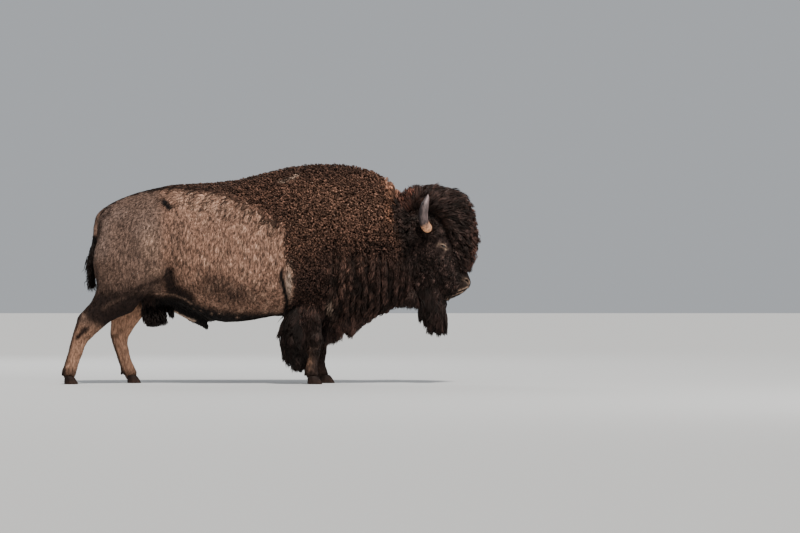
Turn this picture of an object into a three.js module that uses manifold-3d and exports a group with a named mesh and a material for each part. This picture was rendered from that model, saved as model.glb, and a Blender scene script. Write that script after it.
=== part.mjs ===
// A standing American bison bull at life size, as one still figure in named body parts.
// Millimetres, +Z up. The bull faces +X and its left side is +Y.
// Stations are given in a working frame whose X = 0 lies behind the forelegs, at the edge of the woolly
// cape. The finished group is then moved so that its origin is under the middle of its bounding box.
import * as THREE from 'three';
import { LoftGeometry } from 'three/addons/geometries/LoftGeometry.js';
import { mergeVertices } from 'three/addons/utils/BufferGeometryUtils.js';
import Module from 'manifold-3d';

const wasm = await Module();
wasm.setup();

// ---------------------------------------------------------------- driving dimensions
const HUMP_TOP = 1800; // floor to the top of the hump, coat included
const GAP = 0.3; // clearance between neighbouring pieces
const FAR = 5000; // larger than the whole animal

const CAPE_EDGE_X = -20; // rear edge of the woolly cape, where the short coat of the barrel begins
const LOIN_X = -1000; // barrel ends and rump begins
const NECK_X = 640; // shoulders end and neck begins

const FORE_TRACK = 165; // half the distance between the fore hooves
const HIND_TRACK = 170;
const KNEE_Z = 315;
const FORE_FETLOCK_Z = 115;
const HOCK_Z = 395;
const STIFLE_Z = 640;
const HIND_FETLOCK_Z = 115;

const FORE_CLAW_LENGTH = 132; // one half of the cloven hoof
const HIND_CLAW_LENGTH = 120;
const CLAW_WIDTH = 54;
const CLAW_HEIGHT = 66;
const CLAW_SPLAY = 5; // degrees that each claw turns outward

const EYE = new THREE.Vector3(1300, 140, 1109);
const EYE_RADIUS = 22;
const SOCKET = new THREE.Vector3(38, 26, 29); // half sizes of the hollow in front of the eye

const RIGHT = -1;
const LEFT = 1;
const SIDE_NAME = { [RIGHT]: 'right', [LEFT]: 'left' };

const X_AXIS = new THREE.Vector3(1, 0, 0);
const Y_AXIS = new THREE.Vector3(0, 1, 0);

// ---------------------------------------------------------------- materials
const finish = (color, roughness) => new THREE.MeshStandardMaterial({ color, roughness, metalness: 0 });
const SHORT_COAT = finish(0x6f5a4c, 0.85);
const WOOL = finish(0x3d2a20, 0.95);
const DARK_HAIR = finish(0x1d1613, 0.9);
const SHANK_COAT = finish(0x4d3a30, 0.85);
const HORN = finish(0x77706c, 0.5);
const HOOF = finish(0x2b2522, 0.6);
const EYEBALL = finish(0x120b08, 0.1);

// ---------------------------------------------------------------- solids
// A closed geometry as a manifold-3d solid.
function solidOf(geometry) {
  const plain = new THREE.BufferGeometry().copy(geometry);
  plain.deleteAttribute('normal');
  plain.deleteAttribute('uv');
  const merged = mergeVertices(plain, 1e-3);
  return new wasm.Manifold(new wasm.Mesh({
    numProp: 3,
    vertProperties: new Float32Array(merged.attributes.position.array),
    triVerts: new Uint32Array(merged.index.array),
  }));
}

// A smooth curve that passes each station in turn, through the three numbers that read() takes from it.
function throughStations(stations, read) {
  const points = stations.map((station) => new THREE.Vector3(...read(station)));
  return new THREE.CatmullRomCurve3(points, false, 'catmullrom', 0.5);
}

// A body lofted through stations. Each station has its centre `at`, its reach `up`, `down` and to each
// `side`, and `peak` and `keel`, which pinch the section's upper and lower half when over 1. "Up" is
// square to the path and to the sideways axis: upward on a path that runs forward, and forward on a
// path that runs down a leg. Upright sections stay square to X instead of to the path.
function loft(stations, { around = 20, rings = 3, upright = false, sideways = Y_AXIS, grow = 0 } = {}) {
  const spine = throughStations(stations, (s) => s.at);
  const reach = throughStations(stations, (s) => [s.up, s.down ?? s.up, s.side]);
  const pinch = throughStations(stations, (s) => [s.peak ?? 1, s.keel ?? 1, 0]);
  const last = rings * (stations.length - 1);
  const sections = [];
  for (let i = 0; i <= last; i++) {
    const t = i / last;
    const along = upright ? X_AXIS.clone() : spine.getTangent(t);
    const across = sideways.clone().addScaledVector(along, -sideways.dot(along)).normalize();
    const above = new THREE.Vector3().crossVectors(along, across);
    const end = (i === last) - (i === 0);
    const centre = spine.getPoint(t).addScaledVector(along, end * grow);
    const [up, down, side] = reach.getPoint(t).addScalar(grow).toArray();
    const { x: peak, y: keel } = pinch.getPoint(t);
    const section = [];
    for (let k = 0; k < around; k++) {
      const angle = (k / around) * 2 * Math.PI;
      const high = Math.cos(angle);
      const wide = Math.sign(Math.sin(angle)) * Math.abs(Math.sin(angle)) ** (high > 0 ? peak : keel);
      section.push(centre.clone()
        .addScaledVector(above, high * (high > 0 ? up : down))
        .addScaledVector(across, -wide * side));
    }
    sections.push(section);
  }
  return solidOf(new LoftGeometry(sections, { capStart: true, capEnd: true }));
}

function ball(centre, radius, grow = 0) {
  return solidOf(new THREE.SphereGeometry(radius + grow, 10, 6).translate(...centre.toArray()));
}

// The space between two planes square to an axis, drawn in by half the gap at each.
function slice(axis, low, high) {
  const size = new THREE.Vector3(2 * FAR, 2 * FAR, 2 * FAR);
  const centre = new THREE.Vector3();
  size[axis] = high - low - GAP;
  centre[axis] = (low + high) / 2;
  return solidOf(new THREE.BoxGeometry(...size.toArray()).translate(...centre.toArray()));
}

// The largest body of a solid, without the slivers that a cut can leave.
function largest(solid) {
  return solid.decompose().reduce((best, body) => (body.volume() > best.volume() ? body : best));
}

const without = (solid, others) => others.reduce((rest, other) => rest.subtract(other), solid);
const joined = (solids) => solids.reduce((whole, solid) => whole.add(solid));

// ---------------------------------------------------------------- trunk
// Upright sections from the rump to the neck: x, top of the back, widest level, belly, half width.
const TRUNK = [
  [-1500, 1330, 1080, 900, 130, 1, 1],
  [-1478, 1404, 1080, 810, 205, 1, 1],
  [-1400, 1470, 1085, 735, 268, 1, 1],
  [-1200, 1556, 1100, 712, 312, 1.1, 1],
  [-900, 1622, 1085, 682, 332, 1.18, 1],
  [-600, 1641, 1035, 516, 372, 1.22, 0.95],
  [-330, 1680, 1010, 498, 392, 1.25, 0.95],
  [-60, 1752, 1000, 545, 386, 1.3, 1],
  [230, 1797, 1000, 530, 380, 1.34, 1],
  [455, HUMP_TOP, 1000, 492, 362, 1.32, 1.1],
  [650, 1769, 1010, 500, 332, 1.25, 1.2],
  [800, 1706, 1020, 550, 300, 1.15, 1.2],
  [935, 1580, 1030, 620, 262, 1.05, 1.1],
  [1060, 1420, 1050, 720, 215, 1, 1],
].map(([x, top, level, belly, side, peak, keel]) => (
  { at: [x, 0, level], up: top - level, down: level - belly, side, peak, keel }));
const trunkLoft = (grow = 0) => loft(TRUNK, { around: 18, rings: 2, upright: true, grow });

// Long hair that hangs below the throat and between the forelegs.
const BRISKET = [
  [1075, 800, 640, 95],
  [985, 800, 605, 120],
  [890, 780, 578, 122],
  [790, 760, 512, 130],
  [650, 740, 424, 142],
  [540, 720, 342, 135],
  [440, 700, 302, 120],
  [350, 690, 318, 95],
  [300, 680, 380, 60],
].map(([x, top, hem, side]) => (
  { at: [x, 0, (top + hem) / 2], up: (top - hem) / 2, side, peak: 0.9, keel: 1.1 }));
const brisketLoft = (grow = 0) => loft(BRISKET.toReversed(), { around: 12, rings: 1, upright: true, grow });

// ---------------------------------------------------------------- head
// From the nape to the lips. "Up" is the face, "down" the throat and jaw; the coat is included.
const HEAD = [
  { at: [985, 0, 1345], up: 110, down: 130, side: 150 },
  { at: [1065, 0, 1270], up: 175, down: 215, side: 222, peak: 1.3 },
  { at: [1118, 0, 1208], up: 180, down: 254, side: 226, peak: 1.6 },
  { at: [1170, 0, 1144], up: 180, down: 276, side: 220, peak: 1.8 },
  { at: [1218, 0, 1080], up: 175, down: 284, side: 206, peak: 1.7 },
  { at: [1260, 0, 1020], up: 165, down: 282, side: 186, peak: 1.6 },
  { at: [1300, 0, 958], up: 150, down: 256, side: 162, peak: 1.4 },
  { at: [1335, 0, 905], up: 132, down: 215, side: 138, peak: 1.2 },
  { at: [1395, 0, 822], up: 108, down: 132, side: 108 },
  { at: [1432, 0, 779], up: 92, down: 97, side: 102 },
  { at: [1456, 0, 752], up: 72, down: 80, side: 90 },
  { at: [1470, 0, 736], up: 44, down: 52, side: 66 },
];
const headLoft = (grow = 0) => loft(HEAD, { around: 16, rings: 1, grow });

// The mop of hair over the crown, brow and nose.
const FORELOCK = [
  { at: [925, 0, 1480], up: 78, down: 110, side: 100 },
  { at: [1010, 0, 1478], up: 112, down: 120, side: 168 },
  { at: [1160, 0, 1462], up: 142, down: 130, side: 196 },
  { at: [1300, 0, 1420], up: 196, down: 130, side: 206 },
  { at: [1392, 0, 1310], up: 182, down: 130, side: 206 },
  { at: [1428, 0, 1180], up: 168, down: 110, side: 188 },
  { at: [1442, 0, 1050], up: 140, down: 90, side: 142 },
  { at: [1458, 0, 950], up: 92, down: 70, side: 100 },
  { at: [1470, 0, 890], up: 40, down: 40, side: 62 },
];
const forelockLoft = (grow = 0) => loft(FORELOCK, { around: 14, rings: 1, grow });

const BEARD = [
  { at: [1190, 0, 850], up: 120, down: 190, side: 120 },
  { at: [1196, 0, 740], up: 140, down: 165, side: 112 },
  { at: [1206, 0, 630], up: 142, down: 148, side: 102 },
  { at: [1238, 0, 530], up: 112, down: 118, side: 80 },
  { at: [1264, 0, 450], up: 72, down: 66, side: 50 },
  { at: [1272, 0, 392], up: 22, down: 22, side: 18 },
];
const beardLoft = (grow = 0) => loft(BEARD, { around: 10, rings: 1, grow });

// Each horn leaves the head sideways, curves up and comes in a little at its tip.
const HORN_PATH = [
  [1180, 160, 1262, 43],
  [1174, 205, 1264, 43],
  [1159, 262, 1279, 42],
  [1140, 308, 1320, 40],
  [1138, 330, 1376, 38],
  [1149, 328, 1434, 35],
  [1168, 317, 1491, 19],
  [1177, 308, 1532, 3],
];
const hornLoft = (hand, grow = 0) => loft(
  HORN_PATH.map(([x, y, z, radius]) => ({ at: [x, hand * y, z], up: radius, side: radius })),
  { around: 10, rings: 1, sideways: X_AXIS, grow });

const EAR_PATH = [
  [1108, 178, 1200, 20, 26],
  [1088, 228, 1196, 24, 40],
  [1060, 272, 1186, 20, 42],
  [1034, 306, 1174, 12, 28],
  [1018, 326, 1166, 4, 8],
];
const earLoft = (hand, grow = 0) => loft(
  EAR_PATH.map(([x, y, z, thick, broad]) => ({ at: [x, hand * y, z], up: thick, side: broad })),
  { around: 8, rings: 1, sideways: new THREE.Vector3(0, 0, 1), grow });

const eyeSolid = (hand, grow = 0) => ball(EYE.clone().setY(hand * EYE.y), EYE_RADIUS, grow);
function socketSolid(hand) {
  const geometry = new THREE.SphereGeometry(1, 8, 6)
    .scale(...SOCKET.toArray())
    .translate(EYE.x + 4, hand * (EYE.y + SOCKET.y + 2), EYE.z);
  return solidOf(geometry);
}

// ---------------------------------------------------------------- tail and underline
const TAIL = [
  { at: [-1420, 0, 1416], up: 44, side: 46 },
  { at: [-1484, 0, 1366], up: 36, side: 40 },
  { at: [-1512, 0, 1290], up: 30, side: 32 },
  { at: [-1530, 0, 1180], up: 28, side: 30 },
  { at: [-1558, 0, 1080], up: 34, side: 34 },
  { at: [-1571, 0, 980], up: 38, side: 40 },
  { at: [-1568, 0, 870], up: 34, side: 36 },
  { at: [-1562, 0, 790], up: 22, side: 22 },
  { at: [-1558, 0, 732], up: 7, side: 7 },
];
const TAIL_TUFT_Z = 1120; // long hair below this level
const tailLoft = (grow = 0) => loft(TAIL, { around: 8, rings: 1, grow });

const SHEATH = [
  { at: [-975, 0, 700], up: 30, down: 66, side: 34 },
  { at: [-870, 0, 640], up: 50, down: 68, side: 42 },
  { at: [-745, 0, 558], up: 50, down: 58, side: 40 },
  { at: [-652, 0, 500], up: 42, down: 46, side: 36 },
  { at: [-615, 0, 455], up: 26, down: 26, side: 26 },
  { at: [-606, 0, 425], up: 8, down: 8, side: 8 },
];
const sheathLoft = (grow = 0) => loft(SHEATH, { around: 8, rings: 1, grow });

const SCROTUM = [
  { at: [-1064, 0, 712], up: 92, side: 62 },
  { at: [-1060, 0, 630], up: 96, side: 64 },
  { at: [-1058, 0, 550], up: 98, side: 68 },
  { at: [-1066, 0, 500], up: 80, side: 56 },
  { at: [-1072, 0, 470], up: 34, side: 24 },
];
const scrotumLoft = (grow = 0) => loft(SCROTUM, { around: 8, rings: 1, grow });

// ---------------------------------------------------------------- legs
// Each leg runs from inside the trunk to the coronet: x, distance from the midline, z, reach forward,
// reach back, and half width.
const FORELEG = {
  [RIGHT]: [
    [205, 190, 800, 112, 118, 92],
    [215, 186, 640, 106, 112, 86],
    [240, 178, 500, 84, 88, 74],
    [256, 172, 400, 66, 68, 60],
    [260, 168, KNEE_Z, 60, 58, 57],
    [250, 166, 235, 50, 50, 45],
    [241, 165, 180, 47, 48, 42],
    [236, FORE_TRACK, FORE_FETLOCK_Z, 54, 54, 52],
    [242, FORE_TRACK, 62, 54, 52, 52],
    [246, FORE_TRACK, 34, 42, 42, 42],
  ],
  [LEFT]: [
    [240, 190, 800, 112, 118, 92],
    [252, 186, 640, 106, 112, 86],
    [280, 178, 500, 84, 88, 74],
    [300, 172, 400, 66, 68, 60],
    [306, 168, KNEE_Z, 60, 58, 57],
    [297, 166, 235, 50, 50, 45],
    [291, 165, 180, 47, 48, 42],
    [294, FORE_TRACK, FORE_FETLOCK_Z, 54, 54, 52],
    [324, FORE_TRACK, 62, 54, 52, 52],
    [340, FORE_TRACK, 34, 42, 42, 42],
  ],
};
const HINDLEG = {
  [RIGHT]: [
    [-1285, 160, 1250, 165, 190, 105],
    [-1262, 178, 1130, 190, 262, 130],
    [-1270, 192, 980, 262, 272, 150],
    [-1285, 196, 830, 250, 258, 140],
    [-1352, 186, 690, 182, 182, 108],
    [-1470, 178, 582, 112, 115, 78],
    [-1560, 172, 480, 95, 118, 66],
    [-1617, 170, HOCK_Z, 76, 80, 58],
    [-1652, 170, 310, 62, 66, 50],
    [-1675, 170, 240, 58, 58, 47],
    [-1698, HIND_TRACK, 175, 57, 57, 46],
    [-1717, HIND_TRACK, HIND_FETLOCK_Z, 59, 59, 52],
    [-1723, HIND_TRACK, 62, 54, 54, 50],
    [-1722, HIND_TRACK, 34, 42, 42, 42],
  ],
  [LEFT]: [
    [-1275, 160, 1250, 165, 190, 105],
    [-1235, 178, 1130, 190, 262, 130],
    [-1215, 192, 980, 262, 262, 150],
    [-1190, 196, 830, 246, 246, 140],
    [-1192, 186, 700, 176, 180, 108],
    [-1245, 178, 590, 108, 120, 78],
    [-1312, 172, 480, 95, 112, 66],
    [-1338, 170, HOCK_Z, 80, 84, 58],
    [-1330, 170, 310, 64, 64, 50],
    [-1312, 170, 240, 57, 57, 47],
    [-1297, HIND_TRACK, 180, 54, 54, 46],
    [-1270, HIND_TRACK, HIND_FETLOCK_Z, 56, 56, 52],
    [-1246, HIND_TRACK, 62, 54, 54, 50],
    [-1238, HIND_TRACK, 34, 42, 42, 42],
  ],
};
function legLoft(stations, hand, grow = 0) {
  const path = stations.map(([x, y, z, forward, back, side]) => (
    { at: [x, hand * y, z], up: forward, down: back, side }));
  return loft(path, { around: 12, rings: 1, grow });
}

// Long hair that hangs from the upper foreleg: offset behind the leg, z, reach, half width.
const CHAPS = [
  [-20, 690, 104, 84],
  [-86, 560, 134, 98],
  [-105, 430, 128, 96],
  [-112, 310, 118, 84],
  [-108, 228, 92, 66],
  [-106, 160, 64, 46],
  [-106, 114, 42, 30],
  [-106, 94, 14, 12],
];
function chapsLoft(hand, grow = 0) {
  const [elbow] = FORELEG[hand];
  const path = CHAPS.map(([back, z, reach, side]) => (
    { at: [elbow[0] + back, hand * 172, z], up: reach, side }));
  return loft(path, { around: 12, rings: 1, grow });
}

// One claw of a cloven hoof on a flat sole, with its toe towards +X.
function clawSolid(coronet, length, hand, outward, grow = 0) {
  const half = length / 2;
  const side = CLAW_WIDTH / 2;
  const levels = [
    { z: -grow, reach: half, side },
    { z: 0.25 * CLAW_HEIGHT, reach: half - 3, side },
    { z: 0.7 * CLAW_HEIGHT, reach: half - 14, side: side - 2 },
    { z: CLAW_HEIGHT + grow, reach: half - 26, side: side - 7 },
  ];
  const sections = levels.map((level) => {
    const points = [];
    for (let k = 0; k < 8; k++) {
      const angle = (k / 8) * 2 * Math.PI;
      const heelward = Math.cos(angle) < 0 ? 0.86 : 1;
      const lean = -0.26 * level.z;
      points.push(new THREE.Vector3(
        lean + Math.cos(angle) * heelward * (level.reach + grow),
        Math.sin(angle) * (level.side + grow),
        level.z));
    }
    return points;
  });
  const toe = outward * hand;
  const centre = new THREE.Vector3(coronet[0] + 14, hand * coronet[1] + toe * (side + 2), 0);
  const geometry = new LoftGeometry(sections, { capStart: true, capEnd: true });
  geometry.rotateZ(THREE.MathUtils.degToRad(toe * CLAW_SPLAY)).translate(...centre.toArray());
  return solidOf(geometry);
}

// The small claw behind the fetlock.
function dewclawSolid(fetlock, hand, outward, grow = 0) {
  const geometry = new THREE.SphereGeometry(1, 6, 4)
    .scale(15 + grow, 14 + grow, 23 + grow)
    .rotateY(THREE.MathUtils.degToRad(-25))
    .translate(fetlock[0] - fetlock[4] + 6, hand * (fetlock[1] + outward * 22), fetlock[2] - 28);
  return solidOf(geometry);
}

// ---------------------------------------------------------------- assembly
const bull = new THREE.Group();

function addNode(name, solid, material) {
  const body = largest(solid).getMesh();
  const geometry = new THREE.BufferGeometry()
    .setAttribute('position', new THREE.BufferAttribute(body.vertProperties, 3))
    .setIndex(new THREE.BufferAttribute(body.triVerts, 1));
  geometry.computeVertexNormals();
  const mesh = new THREE.Mesh(geometry, material);
  mesh.name = name;
  bull.add(mesh);
}

// Cuts a body into named lengths at levels of one axis.
function addLengths(solid, axis, levels, names, materials) {
  names.forEach((name, i) => {
    addNode(name, solid.intersect(slice(axis, levels[i], levels[i + 1])), materials[i]);
  });
}

const hands = [RIGHT, LEFT];
const bothSides = (make) => hands.map((hand) => make(hand));

// Horns, ears and eyes are whole, and the head is cut back around them.
const sunken = [
  ...bothSides((hand) => hornLoft(hand, GAP)),
  ...bothSides((hand) => earLoft(hand, GAP)),
  ...bothSides((hand) => eyeSolid(hand, GAP)),
];
for (const hand of hands) {
  addNode(`horn_${SIDE_NAME[hand]}`, hornLoft(hand), HORN);
  addNode(`ear_${SIDE_NAME[hand]}`, earLoft(hand), DARK_HAIR);
  addNode(`eye_${SIDE_NAME[hand]}`, eyeSolid(hand), EYEBALL);
}
addNode('head', without(headLoft(), [...sunken, ...bothSides(socketSolid)]), DARK_HAIR);
addNode('forelock', without(forelockLoft(), [headLoft(GAP), ...sunken]), DARK_HAIR);

// The legs are whole up into the trunk, which has a pocket for each.
const legs = (grow) => [
  ...bothSides((hand) => legLoft(FORELEG[hand], hand, grow)),
  ...bothSides((hand) => legLoft(HINDLEG[hand], hand, grow)),
];
const skull = joined([headLoft(GAP), forelockLoft(GAP)]);
addLengths(
  without(trunkLoft(), [skull, ...sunken, ...legs(GAP)]),
  'x', [-FAR, LOIN_X, CAPE_EDGE_X, NECK_X, FAR],
  ['rump', 'barrel', 'shoulders', 'neck'], [SHORT_COAT, SHORT_COAT, WOOL, WOOL]);
const trunk = trunkLoft(GAP);
addNode('brisket_hair', without(brisketLoft(), [trunk, skull, ...legs(GAP)]), DARK_HAIR);
addNode('beard', without(beardLoft(), [headLoft(GAP), trunk, brisketLoft(GAP)]), DARK_HAIR);
addLengths(
  without(tailLoft(), [trunk]), 'z', [-FAR, TAIL_TUFT_Z, FAR],
  ['tail_tuft', 'tail'], [DARK_HAIR, SHORT_COAT]);
addNode('sheath', without(sheathLoft(), [trunk, scrotumLoft(GAP)]), SHANK_COAT);
addNode('scrotum', without(scrotumLoft(), [trunk, ...legs(GAP)]), SHANK_COAT);

for (const hand of hands) {
  const small = [];
  for (const [end, stations, length, cuts, names] of [
    ['fore', FORELEG[hand], FORE_CLAW_LENGTH, [0, FORE_FETLOCK_Z + 30, KNEE_Z - 45, FAR],
      ['pastern', 'cannon', 'forearm']],
    ['hind', HINDLEG[hand], HIND_CLAW_LENGTH, [0, HIND_FETLOCK_Z + 30, HOCK_Z - 20, STIFLE_Z, FAR],
      ['pastern', 'cannon', 'gaskin', 'thigh']],
  ]) {
    const label = `${end}leg_${SIDE_NAME[hand]}`;
    const coronet = stations[stations.length - 1];
    const fetlock = stations[stations.length - 3];
    const claws = [];
    for (const [outward, place] of [[1, 'outer'], [-1, 'inner']]) {
      const claw = (grow) => clawSolid(coronet, length, hand, outward, grow);
      const dewclaw = (grow) => dewclawSolid(fetlock, hand, outward, grow);
      addNode(`${label}_hoof_${place}`, claw(0), HOOF);
      addNode(`${label}_dewclaw_${place}`, dewclaw(0), HOOF);
      claws.push(claw(GAP), dewclaw(GAP));
    }
    small.push(...claws);
    const coats = names.map((name) => (name === 'thigh' ? SHORT_COAT : SHANK_COAT));
    addLengths(
      without(legLoft(stations, hand), claws), 'z', cuts, names.map((name) => `${label}_${name}`), coats);
  }
  const neighbours = [legLoft(FORELEG[hand], hand, GAP), trunk, brisketLoft(GAP), ...small];
  addNode(`chaps_${SIDE_NAME[hand]}`, without(chapsLoft(hand), neighbours), DARK_HAIR);
}

// The origin goes on the floor under the middle of the figure.
const bounds = new THREE.Box3().setFromObject(bull);
const middle = bounds.getCenter(new THREE.Vector3());
bull.position.set(-middle.x, -middle.y, -bounds.min.z);

export default bull;
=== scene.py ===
"""The looks of the american bison bull: a skin, its coat of mesh locks, eyes, horns and hooves.

Forms and places are in the bull's working frame: millimetres, X forward with 0 behind the forelegs, Y to the
left, Z up from the floor. Meshes are made in the row's frame, in metres.
"""

import math

import bmesh
import bpy
import numpy as np
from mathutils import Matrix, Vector
from mathutils.bvhtree import BVHTree
from mathutils.kdtree import KDTree


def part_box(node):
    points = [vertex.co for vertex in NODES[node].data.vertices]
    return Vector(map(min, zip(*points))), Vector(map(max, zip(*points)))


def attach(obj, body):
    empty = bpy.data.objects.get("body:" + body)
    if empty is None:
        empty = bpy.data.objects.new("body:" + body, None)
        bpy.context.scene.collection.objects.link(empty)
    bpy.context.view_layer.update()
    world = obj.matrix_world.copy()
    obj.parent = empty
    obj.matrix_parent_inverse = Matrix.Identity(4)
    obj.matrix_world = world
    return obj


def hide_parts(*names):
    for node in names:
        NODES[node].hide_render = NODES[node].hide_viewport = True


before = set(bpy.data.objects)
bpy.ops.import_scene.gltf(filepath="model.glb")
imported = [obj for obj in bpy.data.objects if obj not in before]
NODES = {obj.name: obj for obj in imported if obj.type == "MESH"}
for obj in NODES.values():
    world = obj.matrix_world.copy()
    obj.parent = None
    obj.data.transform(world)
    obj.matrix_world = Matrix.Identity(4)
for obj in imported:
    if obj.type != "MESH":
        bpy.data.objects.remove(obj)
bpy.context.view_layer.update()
MM = 0.001

# The eye's place is known in both frames and ties them together.
EYE = np.array([1300.0, 140.0, 1109.0])
EYE_RADIUS = 22.0
_eye_low, _eye_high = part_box("eye_right")
TO_ROW = np.array([(_eye_low.x + _eye_high.x) / 2 - EYE[0] * MM, 0.0, 0.0])


def to_row(points):
    return np.asarray(points, float) * MM + TO_ROW


def to_work(points):
    return (np.asarray(points, float) - TO_ROW) / MM


# ---------- small maths
def ramp(low, high, x):
    """0 up to low, 1 from high on and smooth between them. Falls where low is above high."""
    t = np.clip((x - low) / (high - low), 0, 1)
    return t * t * (3 - 2 * t)


def bell(*apart):
    """1 where all the distances are 0, falling to nothing past 1."""
    return np.exp(-sum(a ** 2 for a in apart))


def unit(v):
    return v / np.maximum(np.linalg.norm(v, axis=-1, keepdims=True), 1e-9)


def folded(p):
    """Places with the right side laid over the left."""
    return np.column_stack([p[:, 0], np.abs(p[:, 1]), p[:, 2]])


def blob(p, centre, radii):
    """1 at a centre on either side of the midplane, falling to nothing over an ellipsoid."""
    d = ((folded(p) - np.array(centre, float)) / np.array(radii, float)) ** 2
    return np.exp(-1.5 * d.sum(-1))


def height_on(line, x):
    """The second value of a line of points at places along its first value."""
    return np.interp(x, *np.array(line, float).T)


class Waves:
    """Smooth noise of about -1 to 1 around one wavelength in mm: a sum of sines in random directions."""

    def __init__(self, wavelength, seed, stretch=(1, 1, 1), count=14):
        r = np.random.default_rng(seed)
        k = unit(r.normal(size=(count, 3))) / np.array(stretch, float)
        self.k = (k * (2 * math.pi / wavelength) * r.uniform(0.6, 1.6, (count, 1))).astype(np.float32)
        self.phase = r.uniform(0, 2 * math.pi, count).astype(np.float32)

    def __call__(self, p):
        q = np.asarray(p, np.float32)
        total = np.zeros(len(q), np.float32)
        for k, phase in zip(self.k, self.phase):
            total += np.sin(q @ k + phase)
        return total * (1.6 / len(self.k))


def to_polyline(x, z, line):
    """Distance in the XZ plane from points to a polyline, and the share of its length there."""
    line = np.array(line, float)
    best = np.full(len(x), 1e9)
    share = np.zeros(len(x))
    lengths = np.hypot(*np.diff(line, axis=0).T)
    start = 0.0
    for (x0, z0), (x1, z1), length in zip(line[:-1], line[1:], lengths):
        t = np.clip(((x - x0) * (x1 - x0) + (z - z0) * (z1 - z0)) / length ** 2, 0, 1)
        d = np.hypot(x - x0 - t * (x1 - x0), z - z0 - t * (z1 - z0))
        closer = d < best
        best = np.where(closer, d, best)
        share = np.where(closer, start + t * length, share)
        start += length
    return best, share / start


def linear(r, g, b):
    """A colour seen as 0 to 255 on screen, as linear light."""
    c = np.array([r, g, b], float) / 255
    return np.where(c <= 0.04045, c / 12.92, ((c + 0.055) / 1.055) ** 2.4)


# ---------- lofts
def through(values, per_span):
    """A smooth curve through rows of values, with per_span steps to each span."""
    v = np.asarray(values, float)
    ext = np.vstack([2 * v[0] - v[1], v, 2 * v[-1] - v[-2]])
    out = []
    for i in range(len(v) - 1):
        a, b, c, d = ext[i:i + 4]
        for t in np.arange(per_span) / per_span:
            out.append(0.5 * (2 * b + (c - a) * t + (2 * a - 5 * b + 4 * c - d) * t * t
                              + (3 * b - a - 3 * c + d) * t ** 3))
    out.append(v[-1])
    return np.array(out)


def close_rings(rings):
    """Vertices and faces of a closed form from rings of equal counts."""
    n, m = rings.shape[:2]
    verts = np.vstack([rings.reshape(-1, 3), rings[0].mean(0), rings[-1].mean(0)])
    faces = []
    for i in range(n - 1):
        for k in range(m):
            a, b = i * m + k, i * m + (k + 1) % m
            faces.append((a, b, b + m, a + m))
    first, last = n * m, n * m + 1
    for k in range(m):
        faces.append((first, (k + 1) % m, k))
        faces.append((last, (n - 1) * m + k, (n - 1) * m + (k + 1) % m))
    return verts, faces


def profile_form(sections, around=40, per_span=4):
    """A form on the midplane. Each section: top x and z, bottom x and z, half width, height of the widest
    level as a share, and the pinch of its upper and lower half."""
    angle = np.arange(around) / around * 2 * math.pi
    high = np.cos(angle)[:, None]
    rings = []
    for top_x, top_z, low_x, low_z, half, level, peak, keel in through(sections, per_span):
        top, low = np.array([top_x, 0, top_z]), np.array([low_x, 0, low_z])
        mid = low + (top - low) * level
        pinch = np.where(high[:, 0] > 0, peak, keel)
        ring = mid + np.where(high > 0, high * (top - mid), -high * (low - mid))
        ring[:, 1] -= np.sign(np.sin(angle)) * np.abs(np.sin(angle)) ** pinch * half
        rings.append(ring)
    return close_rings(np.array(rings))


def path_form(stations, around=24, per_span=4, across=(0, 1, 0)):
    """A form along a path. Each station: x, y, z, and its reach to the front, to the back and to the side."""
    s = through(stations, per_span)
    centre = s[:, :3]
    along = unit(np.gradient(centre, axis=0))
    side = unit(np.array(across, float) - along * (along @ np.array(across, float))[:, None])
    front = np.cross(along, side)
    angle = (np.arange(around) / around * 2 * math.pi)[None, :, None]
    high = np.cos(angle)
    reach = np.where(high > 0, s[:, 3][:, None, None], s[:, 4][:, None, None])
    rings = (centre[:, None, :] + high * reach * front[:, None, :]
             - np.sin(angle) * s[:, 5][:, None, None] * side[:, None, :])
    return close_rings(rings)


# ---------- meshes
def new_object(name, data):
    obj = bpy.data.objects.new(name, data)
    bpy.context.scene.collection.objects.link(obj)
    return obj


def mesh_from(name, verts, faces):
    mesh = bpy.data.meshes.new(name)
    mesh.from_pydata(np.asarray(verts).tolist(), [], [tuple(f) for f in faces])
    mesh.update()
    return mesh


def triangle_mesh(name, verts, tris):
    mesh = bpy.data.meshes.new(name)
    mesh.vertices.add(len(verts))
    mesh.vertices.foreach_set("co", np.ascontiguousarray(verts, np.float32).ravel())
    mesh.loops.add(len(tris) * 3)
    mesh.loops.foreach_set("vertex_index", np.ascontiguousarray(tris, np.int32).ravel())
    mesh.polygons.add(len(tris))
    mesh.polygons.foreach_set("loop_start", np.arange(0, len(tris) * 3, 3, dtype=np.int32))
    mesh.update(calc_edges=True)
    return mesh


def read(collection, attribute, width, kind=np.float32):
    out = np.empty(len(collection) * width, kind)
    collection.foreach_get(attribute, out)
    return out.reshape(-1, width) if width > 1 else out


def coords(mesh):
    return read(mesh.vertices, "co", 3).astype(float)


def set_coords(mesh, co):
    mesh.vertices.foreach_set("co", np.ascontiguousarray(co, np.float32).ravel())
    mesh.update()


def normals_of(mesh):
    return read(mesh.vertex_normals, "vector", 3).astype(float)


def edges_of(mesh):
    return read(mesh.edges, "vertices", 2, np.int32)


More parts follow.
